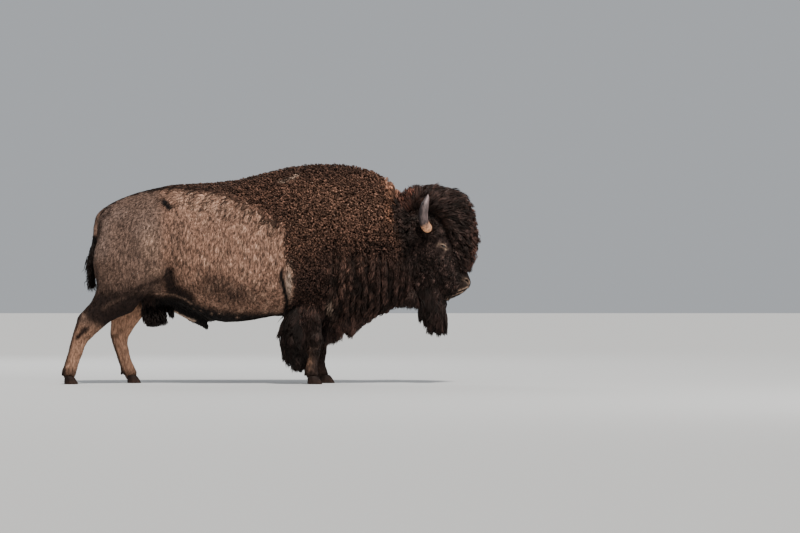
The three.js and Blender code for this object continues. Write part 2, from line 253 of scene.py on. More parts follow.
def averaged(values, edges, times, keep=0.5):
    """Values on vertices, moved towards the mean of their neighbours, over and over."""
    v = np.asarray(values, float)
    flat = v.ndim == 1
    v = v[:, None] if flat else v
    n = len(v)
    count = np.maximum(np.bincount(edges.ravel(), minlength=n), 1)[:, None]
    for _ in range(times):
        total = np.empty_like(v)
        for c in range(v.shape[1]):
            total[:, c] = (np.bincount(edges[:, 0], v[edges[:, 1], c], n)
                           + np.bincount(edges[:, 1], v[edges[:, 0], c], n))
        v = keep * v + (1 - keep) * total / count
    return v[:, 0] if flat else v


def relaxed(co, edges, rounds):
    """Smoothing that takes out steps without shrinking the form."""
    for _ in range(rounds):
        co = averaged(co, edges, 1)
        co = co + (co - averaged(co, edges, 1, keep=0.0)) * 0.53
    return co


def shade_smooth(mesh):
    mesh.polygons.foreach_set("use_smooth", np.ones(len(mesh.polygons), bool))


def edited(mesh, change):
    """Runs a change on a mesh's bmesh."""
    bm = bmesh.new()
    bm.from_mesh(mesh)
    bm.verts.ensure_lookup_table()
    change(bm)
    bm.to_mesh(mesh)
    bm.free()
    mesh.update()
    return mesh


def turned_out(mesh):
    """Turns a closed mesh's faces outward."""
    return edited(mesh, lambda bm: bmesh.ops.recalc_face_normals(bm, faces=bm.faces))


def largest_shell(mesh):
    """Keeps the outer shell of a remeshed form."""
    edges = edges_of(mesh)
    label = np.arange(len(mesh.vertices))
    while True:
        low = label.copy()
        np.minimum.at(low, edges[:, 0], label[edges[:, 1]])
        np.minimum.at(low, edges[:, 1], label[edges[:, 0]])
        low = low[low]
        if (low == label).all():
            break
        label = low
    stray = np.flatnonzero(label != np.bincount(label).argmax())
    if len(stray):
        edited(mesh, lambda bm: bmesh.ops.delete(bm, geom=[bm.verts[int(i)] for i in stray], context="VERTS"))
    return mesh


def joined(forms):
    """The vertices and faces of several forms as one."""
    verts, faces, start = [], [], 0
    for v, f in forms:
        verts.append(np.asarray(v))
        faces.extend(tuple(int(i) + start for i in face) for face in f)
        start += len(v)
    return np.vstack(verts), faces


def voxel_union(name, forms, voxel):
    """One closed mesh around closed forms, each given as vertices in metres and faces."""
    obj = new_object(name, mesh_from(name, *joined(forms)))
    mod = obj.modifiers.new("remesh", "REMESH")
    mod.mode = "VOXEL"
    mod.voxel_size = voxel
    graph = bpy.context.evaluated_depsgraph_get()
    mesh = bpy.data.meshes.new_from_object(obj.evaluated_get(graph))
    bpy.data.objects.remove(obj)
    return largest_shell(mesh)


def node_form(name, grow):
    """A CAD node's vertices and faces, swollen a little so that neighbours run into each other."""
    bm = bmesh.new()
    bm.from_mesh(NODES[name].data)
    bmesh.ops.remove_doubles(bm, verts=bm.verts, dist=1e-6)
    bm.normal_update()
    verts = np.array([v.co + v.normal * grow for v in bm.verts])
    faces = [[v.index for v in f.verts] for f in bm.faces]
    bm.free()
    return verts, faces


def faces_of(mesh):
    return [tuple(f.vertices) for f in mesh.polygons]


# ---------- the bull's own forms
# FACE, NAPE and BRISKET_WOOL are sections for profile_form. The others are stations for path_form.
FACE = [
    [1060, 1380, 985, 1290, 120, 0.5, 1.0, 1.0],
    [1110, 1425, 985, 1215, 142, 0.58, 0.85, 1.0],
    [1190, 1424, 1000, 1120, 148, 0.62, 0.75, 1.0],
    [1268, 1360, 1022, 1030, 147, 0.64, 0.75, 1.05],
    [1345, 1258, 1050, 950, 147, 0.66, 0.8, 1.15],
    [1398, 1160, 1098, 884, 148, 0.68, 0.9, 1.2],
    [1430, 1080, 1160, 820, 124, 0.64, 1.05, 1.2],
    [1458, 1005, 1225, 760, 100, 0.62, 1.05, 1.1],
    [1482, 942, 1275, 712, 88, 0.6, 0.95, 1.0],
    [1503, 893, 1322, 696, 84, 0.6, 0.85, 0.9],
    [1521, 848, 1368, 699, 86, 0.62, 0.75, 0.85],
    [1527, 818, 1405, 708, 82, 0.62, 0.75, 0.85],
    [1520, 792, 1434, 721, 70, 0.6, 0.8, 0.85],
    [1506, 774, 1456, 734, 46, 0.55, 0.9, 0.9],
]
NAPE = [
    [780, 1640, 780, 640, 235, 0.45, 1.1, 1.1],
    [935, 1520, 935, 700, 208, 0.45, 1.0, 1.1],
    [1040, 1415, 1010, 770, 180, 0.5, 0.9, 1.0],
    [1120, 1370, 1060, 860, 160, 0.5, 0.9, 1.0],
    [1180, 1330, 1110, 930, 130, 0.5, 0.9, 1.0],
]
CROWN_WOOL = [
    [930, 0, 1400, 60, 90, 80],
    [1030, 0, 1425, 66, 90, 120],
    [1160, 0, 1430, 98, 100, 142],
    [1285, 0, 1385, 126, 100, 150],
    [1365, 0, 1288, 130, 100, 150],
    [1400, 0, 1178, 116, 90, 128],
    [1420, 0, 1065, 84, 70, 92],
    [1440, 0, 970, 40, 50, 60],
]
BEARD_WOOL = [
    [1196, 0, 965, 100, 150, 116],
    [1200, 0, 860, 108, 150, 104],
    [1205, 0, 760, 102, 112, 84],
    [1216, 0, 660, 98, 96, 66],
    [1244, 0, 570, 78, 62, 46],
    [1268, 0, 505, 48, 40, 30],
    [1275, 0, 465, 18, 20, 13],
]
BRISKET_WOOL = [
    [360, 700, 360, 450, 52, 0.5, 1.0, 1.1],
    [440, 720, 440, 424, 72, 0.5, 1.0, 1.1],
    [540, 740, 540, 452, 86, 0.5, 1.0, 1.1],
    [650, 760, 650, 520, 94, 0.5, 1.0, 1.1],
    [790, 780, 790, 596, 92, 0.5, 1.0, 1.1],
    [890, 800, 890, 648, 88, 0.5, 1.0, 1.0],
    [985, 820, 985, 680, 80, 0.5, 1.0, 1.0],
    [1075, 820, 1075, 712, 56, 0.5, 1.0, 1.0],
]
TAIL_CORE = [
    [-1420, 0, 1406, 36, 36, 38],
    [-1482, 0, 1358, 31, 31, 33],
    [-1508, 0, 1290, 26, 26, 27],
    [-1526, 0, 1180, 20, 20, 20],
    [-1546, 0, 1080, 15, 15, 15],
    [-1554, 0, 980, 13, 13, 13],
    [-1552, 0, 900, 11, 11, 11],
    [-1546, 0, 850, 8, 8, 8],
]
EAR = [
    [1118, 150, 1202, 15, 15, 22],
    [1104, 182, 1200, 15, 15, 32],
    [1086, 222, 1196, 15, 15, 37],
    [1062, 262, 1187, 14, 14, 36],
    [1040, 290, 1178, 12, 12, 26],
    [1026, 308, 1172, 8, 8, 12],
]
# The wool of the chaps, from the elbow down: x from the elbow, z, reach in front and behind, and to the side.
ELBOW_X, ELBOW_Y = {-1: 205, 1: 240}, 172
CHAPS_WOOL = [
    [-20, 690, 66, 58],
    [-80, 560, 90, 66],
    [-98, 430, 90, 64],
    [-104, 330, 78, 54],
    [-96, 260, 58, 42],
    [-84, 205, 34, 26],
    [-78, 172, 12, 9],
]


def handed(stations, hand):
    return [[x, hand * y, *rest] for x, y, *rest in stations]


def chaps_wool(hand):
    return path_form([[ELBOW_X[hand] + x, hand * ELBOW_Y, z, reach, reach, side]
                      for x, z, reach, side in CHAPS_WOOL])


OWN_FORMS = [
    ("face", profile_form(FACE)),
    ("nape", profile_form(NAPE)),
    ("crown", path_form(CROWN_WOOL)),
    ("beard", path_form(BEARD_WOOL)),
    ("brisket", profile_form(BRISKET_WOOL)),
    ("tail", path_form(TAIL_CORE)),
    ("chaps", chaps_wool(-1)),
    ("chaps", chaps_wool(1)),
    ("ear", path_form(handed(EAR, -1), across=(0, 0, 1))),
    ("ear", path_form(handed(EAR, 1), across=(0, 0, 1))),
]
BODY_NODES = [n for n in NODES if n in ("rump", "barrel", "shoulders", "neck", "sheath", "scrotum")
              or n.endswith(("_forearm", "_cannon", "_pastern", "_thigh", "_gaskin"))]
HEAD_NODES = ["head", "forelock", "beard", "ear_left", "ear_right"]
HAIR_NODES = ["brisket_hair", "chaps_left", "chaps_right", "tail", "tail_tuft"]


# ---------- where the coat changes
# The rear edge of the woolly cape, from the loin down to the armpit.
CAPE_SLOPE = [[-1200, 1900], [-1000, 1650], [-760, 1600], [-506, 1560], [-349, 1500], [-190, 1415],
              [-90, 1345], [0, 1275]]
CAPE_SIDE = [[0, 1300], [24, 1240], [30, 1100], [32, 980], [92, 925], [98, 720], [64, 650], [44, 560],
             [44, -300]]
cape_waves = Waves(85, 3)
fray_waves = Waves(36, 4, stretch=(1, 1, 3))


def cape_inset(p):
    """How far inside the cape a place is, in mm; negative on the short coat behind it."""
    x, z = p[:, 0], p[:, 2]
    ahead = x - height_on([[side_z, side_x] for side_x, side_z in CAPE_SIDE[::-1]], z)
    above = (z - height_on(CAPE_SLOPE, x)) * 0.8
    inside = np.where(x < 20, np.where(z > 1240, above, np.maximum(ahead, above)), ahead)
    soft = ramp(1180, 1320, z)
    return inside + (14 + 10 * soft) * cape_waves(p) + (5 + 32 * soft) * fray_waves(p)


def leg_share(p):
    """1 on the legs below the trunk, for either pair."""
    x, z = p[:, 0], p[:, 2]
    fore = ramp(620, 520, z) * ramp(60, 110, x) * ramp(470, 410, x)
    hind = ramp(690, 600, z) * ramp(-1120, -1170, x)
    return np.clip(fore + hind, 0, 1)


def coat_depth(p):
    """How far the skin lies inside the coat's tips."""
    depth = 7 + 34 * ramp(-25, 80, cape_inset(p))
    legs = leg_share(p)
    fore = ramp(-100, 100, p[:, 0])
    leg_depth = 4 + fore * 9 * ramp(260, 520, p[:, 2])
    return depth * (1 - legs) + legs * leg_depth


# ---------- one skin
DEWCLAWS = [n for n in NODES if "_dewclaw_" in n]
OVERLAP = 0.002
HULL_VOXEL, SKIN_VOXEL, OUTER_VOXEL, HOOF_VOXEL = 0.014, 0.0132, 0.016, 0.0035
hull_forms = [node_form(n, OVERLAP) for n in BODY_NODES] + [node_form(n, -OVERLAP) for n in DEWCLAWS]
hull = voxel_union("hull", hull_forms, HULL_VOXEL)
co, edges = coords(hull), edges_of(hull)
trunk = averaged(ramp(560, 760, to_work(co)[:, 2]) * (1 - leg_share(to_work(co))), edges, 6)[:, None]
even = relaxed(co, edges, 10)
co = even + (averaged(even, edges, 45) - even) * trunk
set_coords(hull, co)
normal = unit(averaged(normals_of(hull), edges, 4))
depth = averaged(coat_depth(to_work(co)), edges, 8) - 3.5 * trunk[:, 0]
co = co - normal * depth[:, None] * MM

labelled = [("body", (co, faces_of(hull)))] + [(label, (to_row(v), f)) for label, (v, f) in OWN_FORMS]
bpy.data.meshes.remove(hull)
skin_mesh = voxel_union("skin", [form for _, form in labelled], SKIN_VOXEL)
co, edges = coords(skin_mesh), edges_of(skin_mesh)
co = relaxed(co, edges, 8)

# Each vertex takes the label of the form that it came from.
LABELS = ["body", "face", "nape", "crown", "beard", "brisket", "tail", "chaps", "ear"]
tree = KDTree(sum(len(v) for _, (v, _) in labelled))
owner = []
for label, (v, _) in labelled:
    for point in v:
        tree.insert(point, len(owner))
        owner.append(LABELS.index(label))
tree.balance()
nearest = np.array([owner[tree.find(c)[1]] for c in co])
SHARE = {label: averaged(nearest == i, edges, 5) for i, label in enumerate(LABELS)}


# ---------- modelling of the trunk
# Centre, radii and height of each swelling (or hollow, if negative) under the short coat.
RELIEF = [
    [[-945, 250, 1490], [95, 90, 60], 11],       # point of the hip
    [[-850, 300, 1370], [120, 110, 110], -13],   # hollow before the hip
    [[-900, 260, 880], [70, 130, 150], -32],     # flank, between belly and thigh
    [[-1035, 290, 930], [90, 110, 90], 20],      # stifle
    [[-1120, 300, 1180], [150, 90, 170], 12],    # thigh
    [[-1330, 250, 1200], [50, 120, 200], -12],   # groove between thigh and buttock
    [[-1450, 140, 1300], [70, 80, 90], 8],       # buttock
    [[-1240, 230, 1440], [120, 80, 60], -8],     # below the croup
    [[-480, 380, 840], [240, 120, 160], 14],     # belly
    [[-700, 330, 1180], [150, 120, 200], -8],    # behind the last rib
    [[10, 320, 830], [26, 160, 230], -16],       # fold behind the elbow
    [[150, 330, 760], [110, 120, 130], 12],      # elbow
    [[60, 330, 1080], [50, 160, 160], -7],
    [[380, 340, 980], [150, 120, 260], 8],       # point of the shoulder
]
set_coords(skin_mesh, co)
p = to_work(co)
normal = unit(averaged(normals_of(skin_mesh), edges, 2))
rise = np.zeros(len(p))
for centre, radii, height in RELIEF:
    rise += height * blob(p, centre, radii)
rise += 2.2 * Waves(170, 11)(p) * SHARE["body"]
ridge_warp = Waves(330, 12)
ridge_fine = Waves(150, 13)


def ridges(p):
    """Height from 0 to 1 of the hanging ridges of wool on the lower neck and shoulder, and where they are."""
    x, z = p[:, 0], p[:, 2]
    phase = x / 48 * 2 * math.pi + 2.3 * ridge_warp(p) + 0.9 * ridge_fine(p) - 0.002 * (z - 900)
    where = ramp(1230, 960, z) * ramp(290, 400, x) * ramp(1060, 960, x)
    return 0.5 + 0.5 * np.sin(phase), where


# Deep grooves between the hanging folds of wool on the neck and shoulder.
GROOVES = [
    [[425, 1150], [434, 900], [446, 770]],
    [[584, 1190], [592, 1000], [603, 700], [596, 590]],
    [[672, 1262], [678, 1050], [692, 850], [700, 640]],
    [[706, 1150], [712, 950], [728, 760]],
    [[786, 1215], [790, 1000], [803, 800], [812, 650]],
    [[640, 900], [650, 700], [646, 560]],
    [[862, 1120], [872, 900], [880, 700]],
    [[300, 850], [405, 812], [478, 716], [505, 560]],
    [[260, 760], [372, 735], [440, 655], [466, 530]],
    [[520, 860], [560, 740], [566, 560]],
]


def in_grooves(p):
    """1 in the deep grooves of the neck and shoulder, 0 between them."""
    nearest = np.full(len(p), 1e9)
    for line in GROOVES:
        nearest = np.minimum(nearest, to_polyline(p[:, 0] + 10 * ridge_fine(p), p[:, 2], line)[0])
    return bell(nearest / 12)


ridge, ridged = ridges(p)
rise += ((ridge - 0.5) * 14 * ridged - 16 * in_grooves(p)) * SHARE["body"]


def shank_places(p):
    """For each leg: its end, its share of each vertex, and the place there from rear to front and from the
    midline to the side, both -1 to 1."""
    x, y, z = p.T
    below = leg_share(p) * ramp(520, 470, z)
    for hand in (-1, 1):
        for end in (-1, 1):
            mine = (below > 0.02) & (y * hand > 0) & (x * end > (0 if end > 0 else 900))
            levels = np.arange(30, 540, 20.0)
            spans = []
            for level in levels:
                band = mine & (np.abs(z - level) < 16)
                spans.append([level, *np.percentile(x[band], (1, 99)), *np.percentile(y[band], (1, 99))])
            level, rear, front, low, high = np.array(spans).T
            middle, reach = np.interp(z, level, (rear + front) / 2), np.interp(z, level, (front - rear) / 2)
            centre, half = np.interp(z, level, (low + high) / 2), np.interp(z, level, (high - low) / 2)
            yield end, below * mine, (x - middle) / reach, (y - centre) / half


# Cannons and pasterns: tendons stand out behind a groove; knees and fetlocks swell.
height = p[:, 2]
for end, share, forward, sideways in shank_places(p):
    flank = ramp(0.25, 0.7, np.abs(sideways))
    cannon = ramp(120, 190, height) * ramp(460, 370, height)
    form = -6 * bell((forward + 0.36) / 0.2) * flank * cannon + 3.5 * bell((forward + 0.8) / 0.22) * cannon
    form += 6 * bell((height - 112) / 26) * ramp(0.0, -0.8, forward) - 4 * bell((height - 62) / 16)
    if end > 0:
        form += 8 * bell((height - 392) / 44) * ramp(-0.1, 0.7, forward) - 4 * bell((height - 305) / 30)
    else:
        form += 6 * bell((height - 420) / 60) * bell((forward - 0.3) / 0.4) * flank
        form -= 5 * bell((height - 330) / 40) * (forward > 0)
    rise += form * share
# The groove before the hock's tendon, on either hind leg.
TENDON = [[-1455, 730], [-1490, 664], [-1538, 612], [-1592, 566]]
for shift_x, shift_z in ((0, 0), (232, -22)):
    line = [[x + shift_x, z + shift_z] for x, z in TENDON]
    apart, _ = to_polyline(p[:, 0], p[:, 2], line)
    rise -= 9 * bell(apart / 17) * (p[:, 1] * (1 if shift_x else -1) > 0)
co = co + normal * (rise * MM)[:, None]
set_coords(skin_mesh, co)


# ---------- unwrap, then the face in finer faces
skin = new_object("skin", skin_mesh)
bpy.context.view_layer.objects.active = skin
skin.select_set(True)
bpy.ops.object.mode_set(mode="EDIT")
bpy.ops.mesh.select_all(action="SELECT")
bpy.ops.uv.smart_project(angle_limit=math.radians(66), island_margin=0.002)
bpy.ops.object.mode_set(mode="OBJECT")
skin_mesh.uv_layers[0].name = "OFBake"


def store(mesh, name, kind, field, values):
    """Keeps a value for each vertex as an attribute of the mesh."""
    mesh.attributes.new(name, kind, "POINT").data.foreach_set(field, values.astype(np.float32).ravel())


for label, share in SHARE.items():
    store(skin_mesh, "share_" + label, "FLOAT", "value", share)


def refine(mesh, chosen):
    """Cuts each face in four where chosen(points) holds at all its corners."""
    def cut(bm):
        flags = chosen(to_work(np.array([v.co for v in bm.verts])))
        fine = [e for e in bm.edges if flags[e.verts[0].index] and flags[e.verts[1].index]]
        bmesh.ops.subdivide_edges(bm, edges=fine, cuts=1, use_grid_fill=True, smooth=0.0)
        bmesh.ops.triangulate(bm, faces=[f for f in bm.faces if len(f.verts) > 4])

    edited(mesh, cut)


def on_muzzle(p):
    return (p[:, 0] + 0.5 * (900 - p[:, 2]) > 1395) & (p[:, 2] < 990) & (p[:, 2] > 640)


def by_eye(p, radius):
    return np.linalg.norm(folded(p) - EYE, axis=1) < radius


def on_face(p):
    return on_muzzle(p) | by_eye(p, 75)


refine(skin_mesh, on_face)
refine(skin_mesh, lambda p: (on_muzzle(p) & (p[:, 2] < 940)) | by_eye(p, 58))
co, edges = coords(skin_mesh), edges_of(skin_mesh)
for label in LABELS:
    stored = skin_mesh.attributes["share_" + label]
    SHARE[label] = read(stored.data, "value", 1).astype(float)
    skin_mesh.attributes.remove(stored)
fine = averaged(on_face(to_work(co)), edges, 3)[:, None]
co = co + (relaxed(co, edges, 6) - co) * fine


# ---------- modelling of the face
# The slit of the eye runs down towards the nose.
SLIT = unit(np.array([0.86, 0.0, -0.42]))
LID_OUT = unit(np.array([0.36, 1.0, 0.06]))
LID_OUT = unit(LID_OUT - SLIT * (LID_OUT @ SLIT))
LID_UP = np.cross(LID_OUT, SLIT)
if LID_UP[2] < 0:
    LID_UP = -LID_UP
SLIT_HALF = 19.0


def lid_edges(a):
    """Heights of the upper and lower edge of the open eye at a place along its slit."""
    bow = np.clip(1 - (a / SLIT_HALF) ** 2, 0, None)
    return 8.5 * bow ** 0.8, -7.0 * bow


def eye_frame(p):
    """Place by the nearer eye: along its slit, up from it and out of the head."""
    q = folded(p) - EYE
    return q @ SLIT, q @ LID_UP, q @ LID_OUT


p = to_work(co)
a, v, o = eye_frame(p)
rho = np.hypot(a, v)
near = (rho < 60) & (o > -60)
target = o + 9 * bell(rho / 34)                        # the orbit
target += 7 * bell((v - 30) / 12, a / 34)              # brow
target -= 4 * bell((v + 27) / 9, a / 30)               # hollow below
target -= 5 * bell((a - 32) / 9, (v + 4) / 8)          # tear pit
dome = np.sqrt(np.clip((EYE_RADIUS + 2.5) ** 2 - rho ** 2, 0, None))
target = np.where(rho < EYE_RADIUS + 2, np.maximum(target, dome), target)
upper, lower = lid_edges(a)
opened = (v < upper + 2.5) & (v > lower - 2.5) & (np.abs(a) < SLIT_HALF + 1)
target = np.where(opened, np.minimum(dome - 9, target), target)
move = np.where(near, target - o, 0)
push = np.tile(LID_OUT, (len(p), 1))
push[:, 1] *= np.sign(p[:, 1])
co = co + push * move[:, None] * MM

# Muzzle: nostrils, the lips' line, the bare pad between.
NOSTRIL = np.array([1486.0, 58.0, 832.0])
NOSTRIL_HOLE = (19, 9.5, 45)
MOUTH = [[1497, 772], [1462, 757], [1420, 741], [1375, 724], [1335, 722]]
set_coords(skin_mesh, co)
p = to_work(co)
normal = unit(averaged(normals_of(skin_mesh), edges, 2))


def nostril_place(p):
    """Place along and across the slanting, comma-shaped opening of a nostril, and the distance from it."""
    q = folded(p) - NOSTRIL
    along = q @ unit(np.array([-0.35, 0.45, 0.82]))
    across = q @ unit(np.array([0.45, -0.75, 0.6]))
    return along, across + 0.012 * along ** 2, np.linalg.norm(q, axis=1)


def opening(place, half_length, half_width, within):
    """1 in a round-cornered place around the nostril."""
    along, across, apart = place
    return np.exp(-(along / half_length) ** 4 - (across / half_width) ** 4) * (apart < within)


def up_nose(x, z):
    """How far forward a place is, square to the slope of the nose."""
    return x + 0.28 * (860 - z)


place = nostril_place(p)
hole = opening(place, *NOSTRIL_HOLE)
rim = opening(place, 28, 18, 55)
from_mouth, _ = to_polyline(p[:, 0], p[:, 2], MOUTH)
low_face = (p[:, 0] > 1280) & (p[:, 2] < 900)
lips = bell(from_mouth / 4.5) * low_face
lip_swell = bell((from_mouth - 13) / 9) * low_face
philtrum = bell(p[:, 1] / 5) * (p[:, 0] > 1480) * ramp(880, 850, p[:, 2])
move = 5 * rim - 22 * hole - 7 * lips + 2.0 * lip_swell - 2.5 * philtrum
co = co + normal * (move * MM)[:, None]
set_coords(skin_mesh, co)
shade_smooth(skin_mesh)
p = to_work(co)


# ---------- markings
BARREL = linear(125, 94, 78)
BARREL_PALE = linear(176, 142, 121)
RUMP = linear(92, 74, 65)
RUMP_PALE = linear(110, 91, 82)
THIGH = linear(89, 69, 59)
DARK = linear(36, 25, 21)
SPINE = linear(29, 15, 10)
CAPE = linear(82, 58, 47)
CAPE_PALE = linear(118, 88, 72)
HUMP_TOP = linear(58, 41, 34)
RUST = linear(112, 78, 60)
SHOULDER_LOW = linear(44, 30, 26)
NECK_LOW = linear(46, 31, 27)
BLACK_BROWN = linear(37, 27, 24)
FORELOCK_BROWN = linear(66, 42, 35)
RED_BROWN = linear(72, 41, 31)
HAIR_BLACK = linear(24, 15, 13)
CREASE = linear(132, 112, 98)
SHANK = linear(143, 108, 87)
FORE_SHANK = linear(44, 32, 27)
MUZZLE_SKIN = linear(25, 16, 12)
MUZZLE_RIM_AND_HIGHLIGHT = linear(150, 124, 106)
EYE_PATCH = linear(74, 60, 54)
LID_PALE_AND_HIGHLIGHT = linear(172, 146, 122)
NEAR_BLACK = linear(12, 9, 9)

# Lines of the markings, as points x, z; those of the shanks' rear edges as z, x.
BACK_LINE = [[-1500, 1340], [-1400, 1470], [-1200, 1556], [-900, 1622], [-600, 1641], [-330, 1680],
             [-60, 1752], [230, 1797], [455, 1803], [650, 1769], [800, 1706], [935, 1580], [1060, 1420]]
FLANK_SHADE_LINE = [[-912, 905], [-912, 850], [-886, 765], [-770, 695]]
THIGH_FOLD_SHADE = [[-925, 850], [-1010, 832], [-1120, 800], [-1240, 748]]
LIT_FOLD = [[-1095, 724], [-1000, 732], [-880, 724], [-785, 688], [-735, 650]]
TAIL_LINE = [[-1420, 1406], [-1482, 1358], [-1508, 1290], [-1526, 1180]]
BELLY_LINE = [[-1000, 700], [-900, 698], [-734, 656], [-600, 604], [-500, 580], [-330, 562], [-170, 560],
              [-60, 562], [60, 560]]
BELLY_GLINTS = [[[-728, 614], [-650, 588], [-566, 572]], [[-512, 570], [-430, 548], [-350, 536]],
                [[-840, 668], [-790, 640], [-700, 622]]]
SHEATH_EDGE = [[-915, 598], [-837, 560], [-779, 531], [-715, 508]]
NEAR_SHANK_REAR = [[60, -1770], [175, -1752], [240, -1732], [310, -1714], [395, -1690], [480, -1655],
                   [575, -1636]]
FAR_SHANK_REAR = [[60, -1300], [115, -1326], [180, -1351], [240, -1369], [310, -1394], [395, -1424],
                  [480, -1440]]
HOCK_HOLLOW_SHADE = [[-1572, 452], [-1648, 382]]
SCUFF = [[-14, 1622], [40, 1636], [75, 1652], [130, 1678]]
HIP_SCAR = [[-952, 1474], [-908, 1430]]
RUST_BAND = [[812, 1625], [858, 1560], [880, 1480], [868, 1400], [860, 1330]]
# Dark marks below the cape's edge: x, z, half width, half height.
MARKS = [[-700, 1490, 14, 34], [-655, 1408, 16, 24], [-600, 1462, 12, 20], [-558, 1482, 18, 14],
         [-508, 1402, 34, 12], [-452, 1398, 12, 26], [-415, 1360, 13, 30], [-372, 1352, 11, 24],
         [-330, 1330, 10, 26], [-300, 1392, 12, 20]]
BROW_LINE = [[900, 1400], [1050, 1440], [1200, 1450], [1420, 1400], [1560, 1300]]
ELBOW_CREASE_SHADE = [[526, 10], [668, 44], [861, -2], [980, 6]]
# The bare fold behind the elbow.
BARE_FOLD = [[58, 300, 820], [34, 260, 135]]
patch_waves = Waves(420, 21)
mottle_waves = Waves(120, 22)
grain_waves = Waves(38, 23)
streak_waves = Waves(26, 24, stretch=(1, 1, 4))
hank_waves = Waves(60, 25, stretch=(1, 1, 3))


class Coat:
    """A colour at each place, laid on in layers."""

    def __init__(self, tone, count):
        self.colour = np.tile(tone, (count, 1))

    def paint(self, tone, share):
        m = np.clip(share, 0, 1)[:, None]
        self.colour = self.colour * (1 - m) + tone * m


def markings(p):
    """The coat's colour in linear light at places in the working frame."""
    x, y, z = p[:, 0], np.abs(p[:, 1]), p[:, 2]
    big, mid, small = patch_waves(p), mottle_waves(p), grain_waves(p)
    streak, hank = streak_waves(p), hank_waves(p)
    near = p[:, 1] < 0
    inset = cape_inset(p)
    short, cape = Coat(BARREL, len(p)), Coat(CAPE, len(p))
    paint = short.paint
    even, uneven = 0.8 + 0.4 * small, 0.7 + 0.6 * small

    def line(points, width, warp=0.0):
        """1 along a line, falling away over a width."""
        return bell((to_polyline(x, z, points)[0] + warp) / width)

    def patch(tone, share, centre, radii, broken=1.0, coat=short):
        """A patch on either side, its share broken up by a noise."""
        coat.paint(tone, share * blob(p, centre, radii) * broken)

    # barrel
    paint(BARREL_PALE, 0.45 * ramp(-0.1, 0.9, mid + 0.6 * small) * ramp(-900, -700, x))
    paint(RUMP, 0.5 * ramp(0.0, 0.9, hank - 0.5 * mid) * ramp(-940, -840, x))
    patch(BARREL_PALE, 0.1, [-110, 390, 1130], [130, 300, 200], ramp(-0.5, 0.6, streak))
    patch(BARREL_PALE, 0.9, [-560, 390, 1440], [300, 300, 90], ramp(-0.4, 0.6, hank + 0.5 * streak))
    patch(RUMP, 0.5, [-500, 390, 1345], [110, 300, 70], even)
    patch(RUMP, 0.45, [-840, 300, 1200], [80, 200, 260], even)
    hem = ramp(-190, -40, inset) * ramp(-960, -760, x) * ramp(1180, 1300, z)
    paint(BARREL_PALE, 0.65 * hem * ramp(-0.3, 0.5, streak + 0.5 * hank))
    paint(DARK, 0.95 * hem * ramp(0.05, 0.6, hank - 0.7 * streak) * ramp(-170, -40, inset))
    paint(DARK, 0.6 * ramp(0.1, 0.8, streak) * ramp(-280, -60, x) * ramp(860, 980, z))
    # The lower ribs darker: partly the coat's own dark patch, partly painted shade on the lower barrel.
    stripes = 0.5 + 0.5 * np.sin(x / 30 * 2 * math.pi + 1.6 * mid)
    low_rib = np.maximum(blob(p, [-500, 340, 800], [160, 260, 110]),
                         blob(p, [-375, 330, 725], [175, 260, 112]))
    paint(DARK, 0.92 * low_rib * (0.55 + 0.6 * stripes * ramp(880, 800, z)) * (0.9 + 0.2 * small))
    patch(DARK, 0.5, [-575, 390, 862], [120, 220, 74], even)
    patch(DARK, 0.4, [-240, 390, 730], [80, 200, 60], 0.6 + 0.5 * mid)
    # rump and thigh
    paint(RUMP, 0.85 * ramp(-880, -1040, x + 30 * mid))
    patch(RUMP_PALE, 0.9, [-1330, 240, 1380], [110, 200, 90], 0.8 + 0.3 * small)
    patch(RUMP_PALE, 0.6, [-1120, 300, 1260], [150, 200, 200], 0.7 + 0.5 * mid)
    patch(BARREL_PALE, 0.55, [-1050, 300, 1130], [90, 200, 150], uneven)
    paint(THIGH, 0.75 * ramp(1130, 900, z + 60 * mid) * ramp(-960, -1060, x))
    patch(THIGH * 0.8, 0.5, [-1230, 260, 1180], [70, 200, 210])
    paint(RUMP_PALE * 1.1, 0.8 * ramp(-1350, -1430, x) * ramp(960, 1080, z) * even)
    # Painted shade in the hollow of the flank, widening downwards.
    from_crease, down = to_polyline(x, z, FLANK_SHADE_LINE)
    paint(DARK, ramp(1.6, 0.5, (from_crease + 9 * small) / (41 + 26 * down)))
    # Painted shade along the fold above the thigh.
    paint(DARK, 0.65 * line(THIGH_FOLD_SHADE, 20, 5 * small) * (x < -900))
    # Painted highlight on the bulge of the stifle.
    patch(BARREL_PALE, 0.75, [-1015, 290, 905], [66, 200, 36], 0.7 + 0.7 * streak)
    paint(NEAR_BLACK, 1.9 * near * line(HIP_SCAR, 22, 10 * small))
    for mark_x, mark_z, wide, high in MARKS:
        patch(DARK, 0.95, [mark_x, 300, mark_z], [wide * 1.3, 200, high * 1.3], 1 + 0.5 * small)
    # belly and groin: painted shade underneath and between the hind legs, painted highlights on the lit edges
    belly = height_on(BELLY_LINE, x)
    under = (x > -1180) * (x < 60)
    paint(DARK, 0.75 * ramp(56, -4, z - belly + 14 * mid + 14 * streak) * (x > -960) * (x < 60))
    paint(NEAR_BLACK, 0.95 * ramp(26, -16, z - belly + 8 * streak) * under)
    paint(NEAR_BLACK, 0.85 * ramp(150, 90, y) * ramp(760, 640, z) * (x > -1250) * (x < -500))
    paint(BARREL_PALE, 0.4 * line(LIT_FOLD, 7, 6 * small) * (y > 100))
    for glint in BELLY_GLINTS:
        paint(BARREL_PALE, 0.6 * line(glint, 5, 3 * small) * ramp(-0.2, 0.4, hank) * (y > 100))
    # Painted highlight along the lit lower edge of the sheath.
    paint(CREASE * 1.5, 1.4 * line(SHEATH_EDGE, 7.5) * (y < 90))
    # back line
    from_back = height_on(BACK_LINE, x) - z
    band = np.interp(x, [-1500, -1200, -950, -700, -400, -200], [15, 23, 46, 74, 112, 160])
    paint(SPINE, ramp(1.45, 0.6, (from_back + 22 * mid + 14 * small + 16 * streak) / band) * (x < 60))
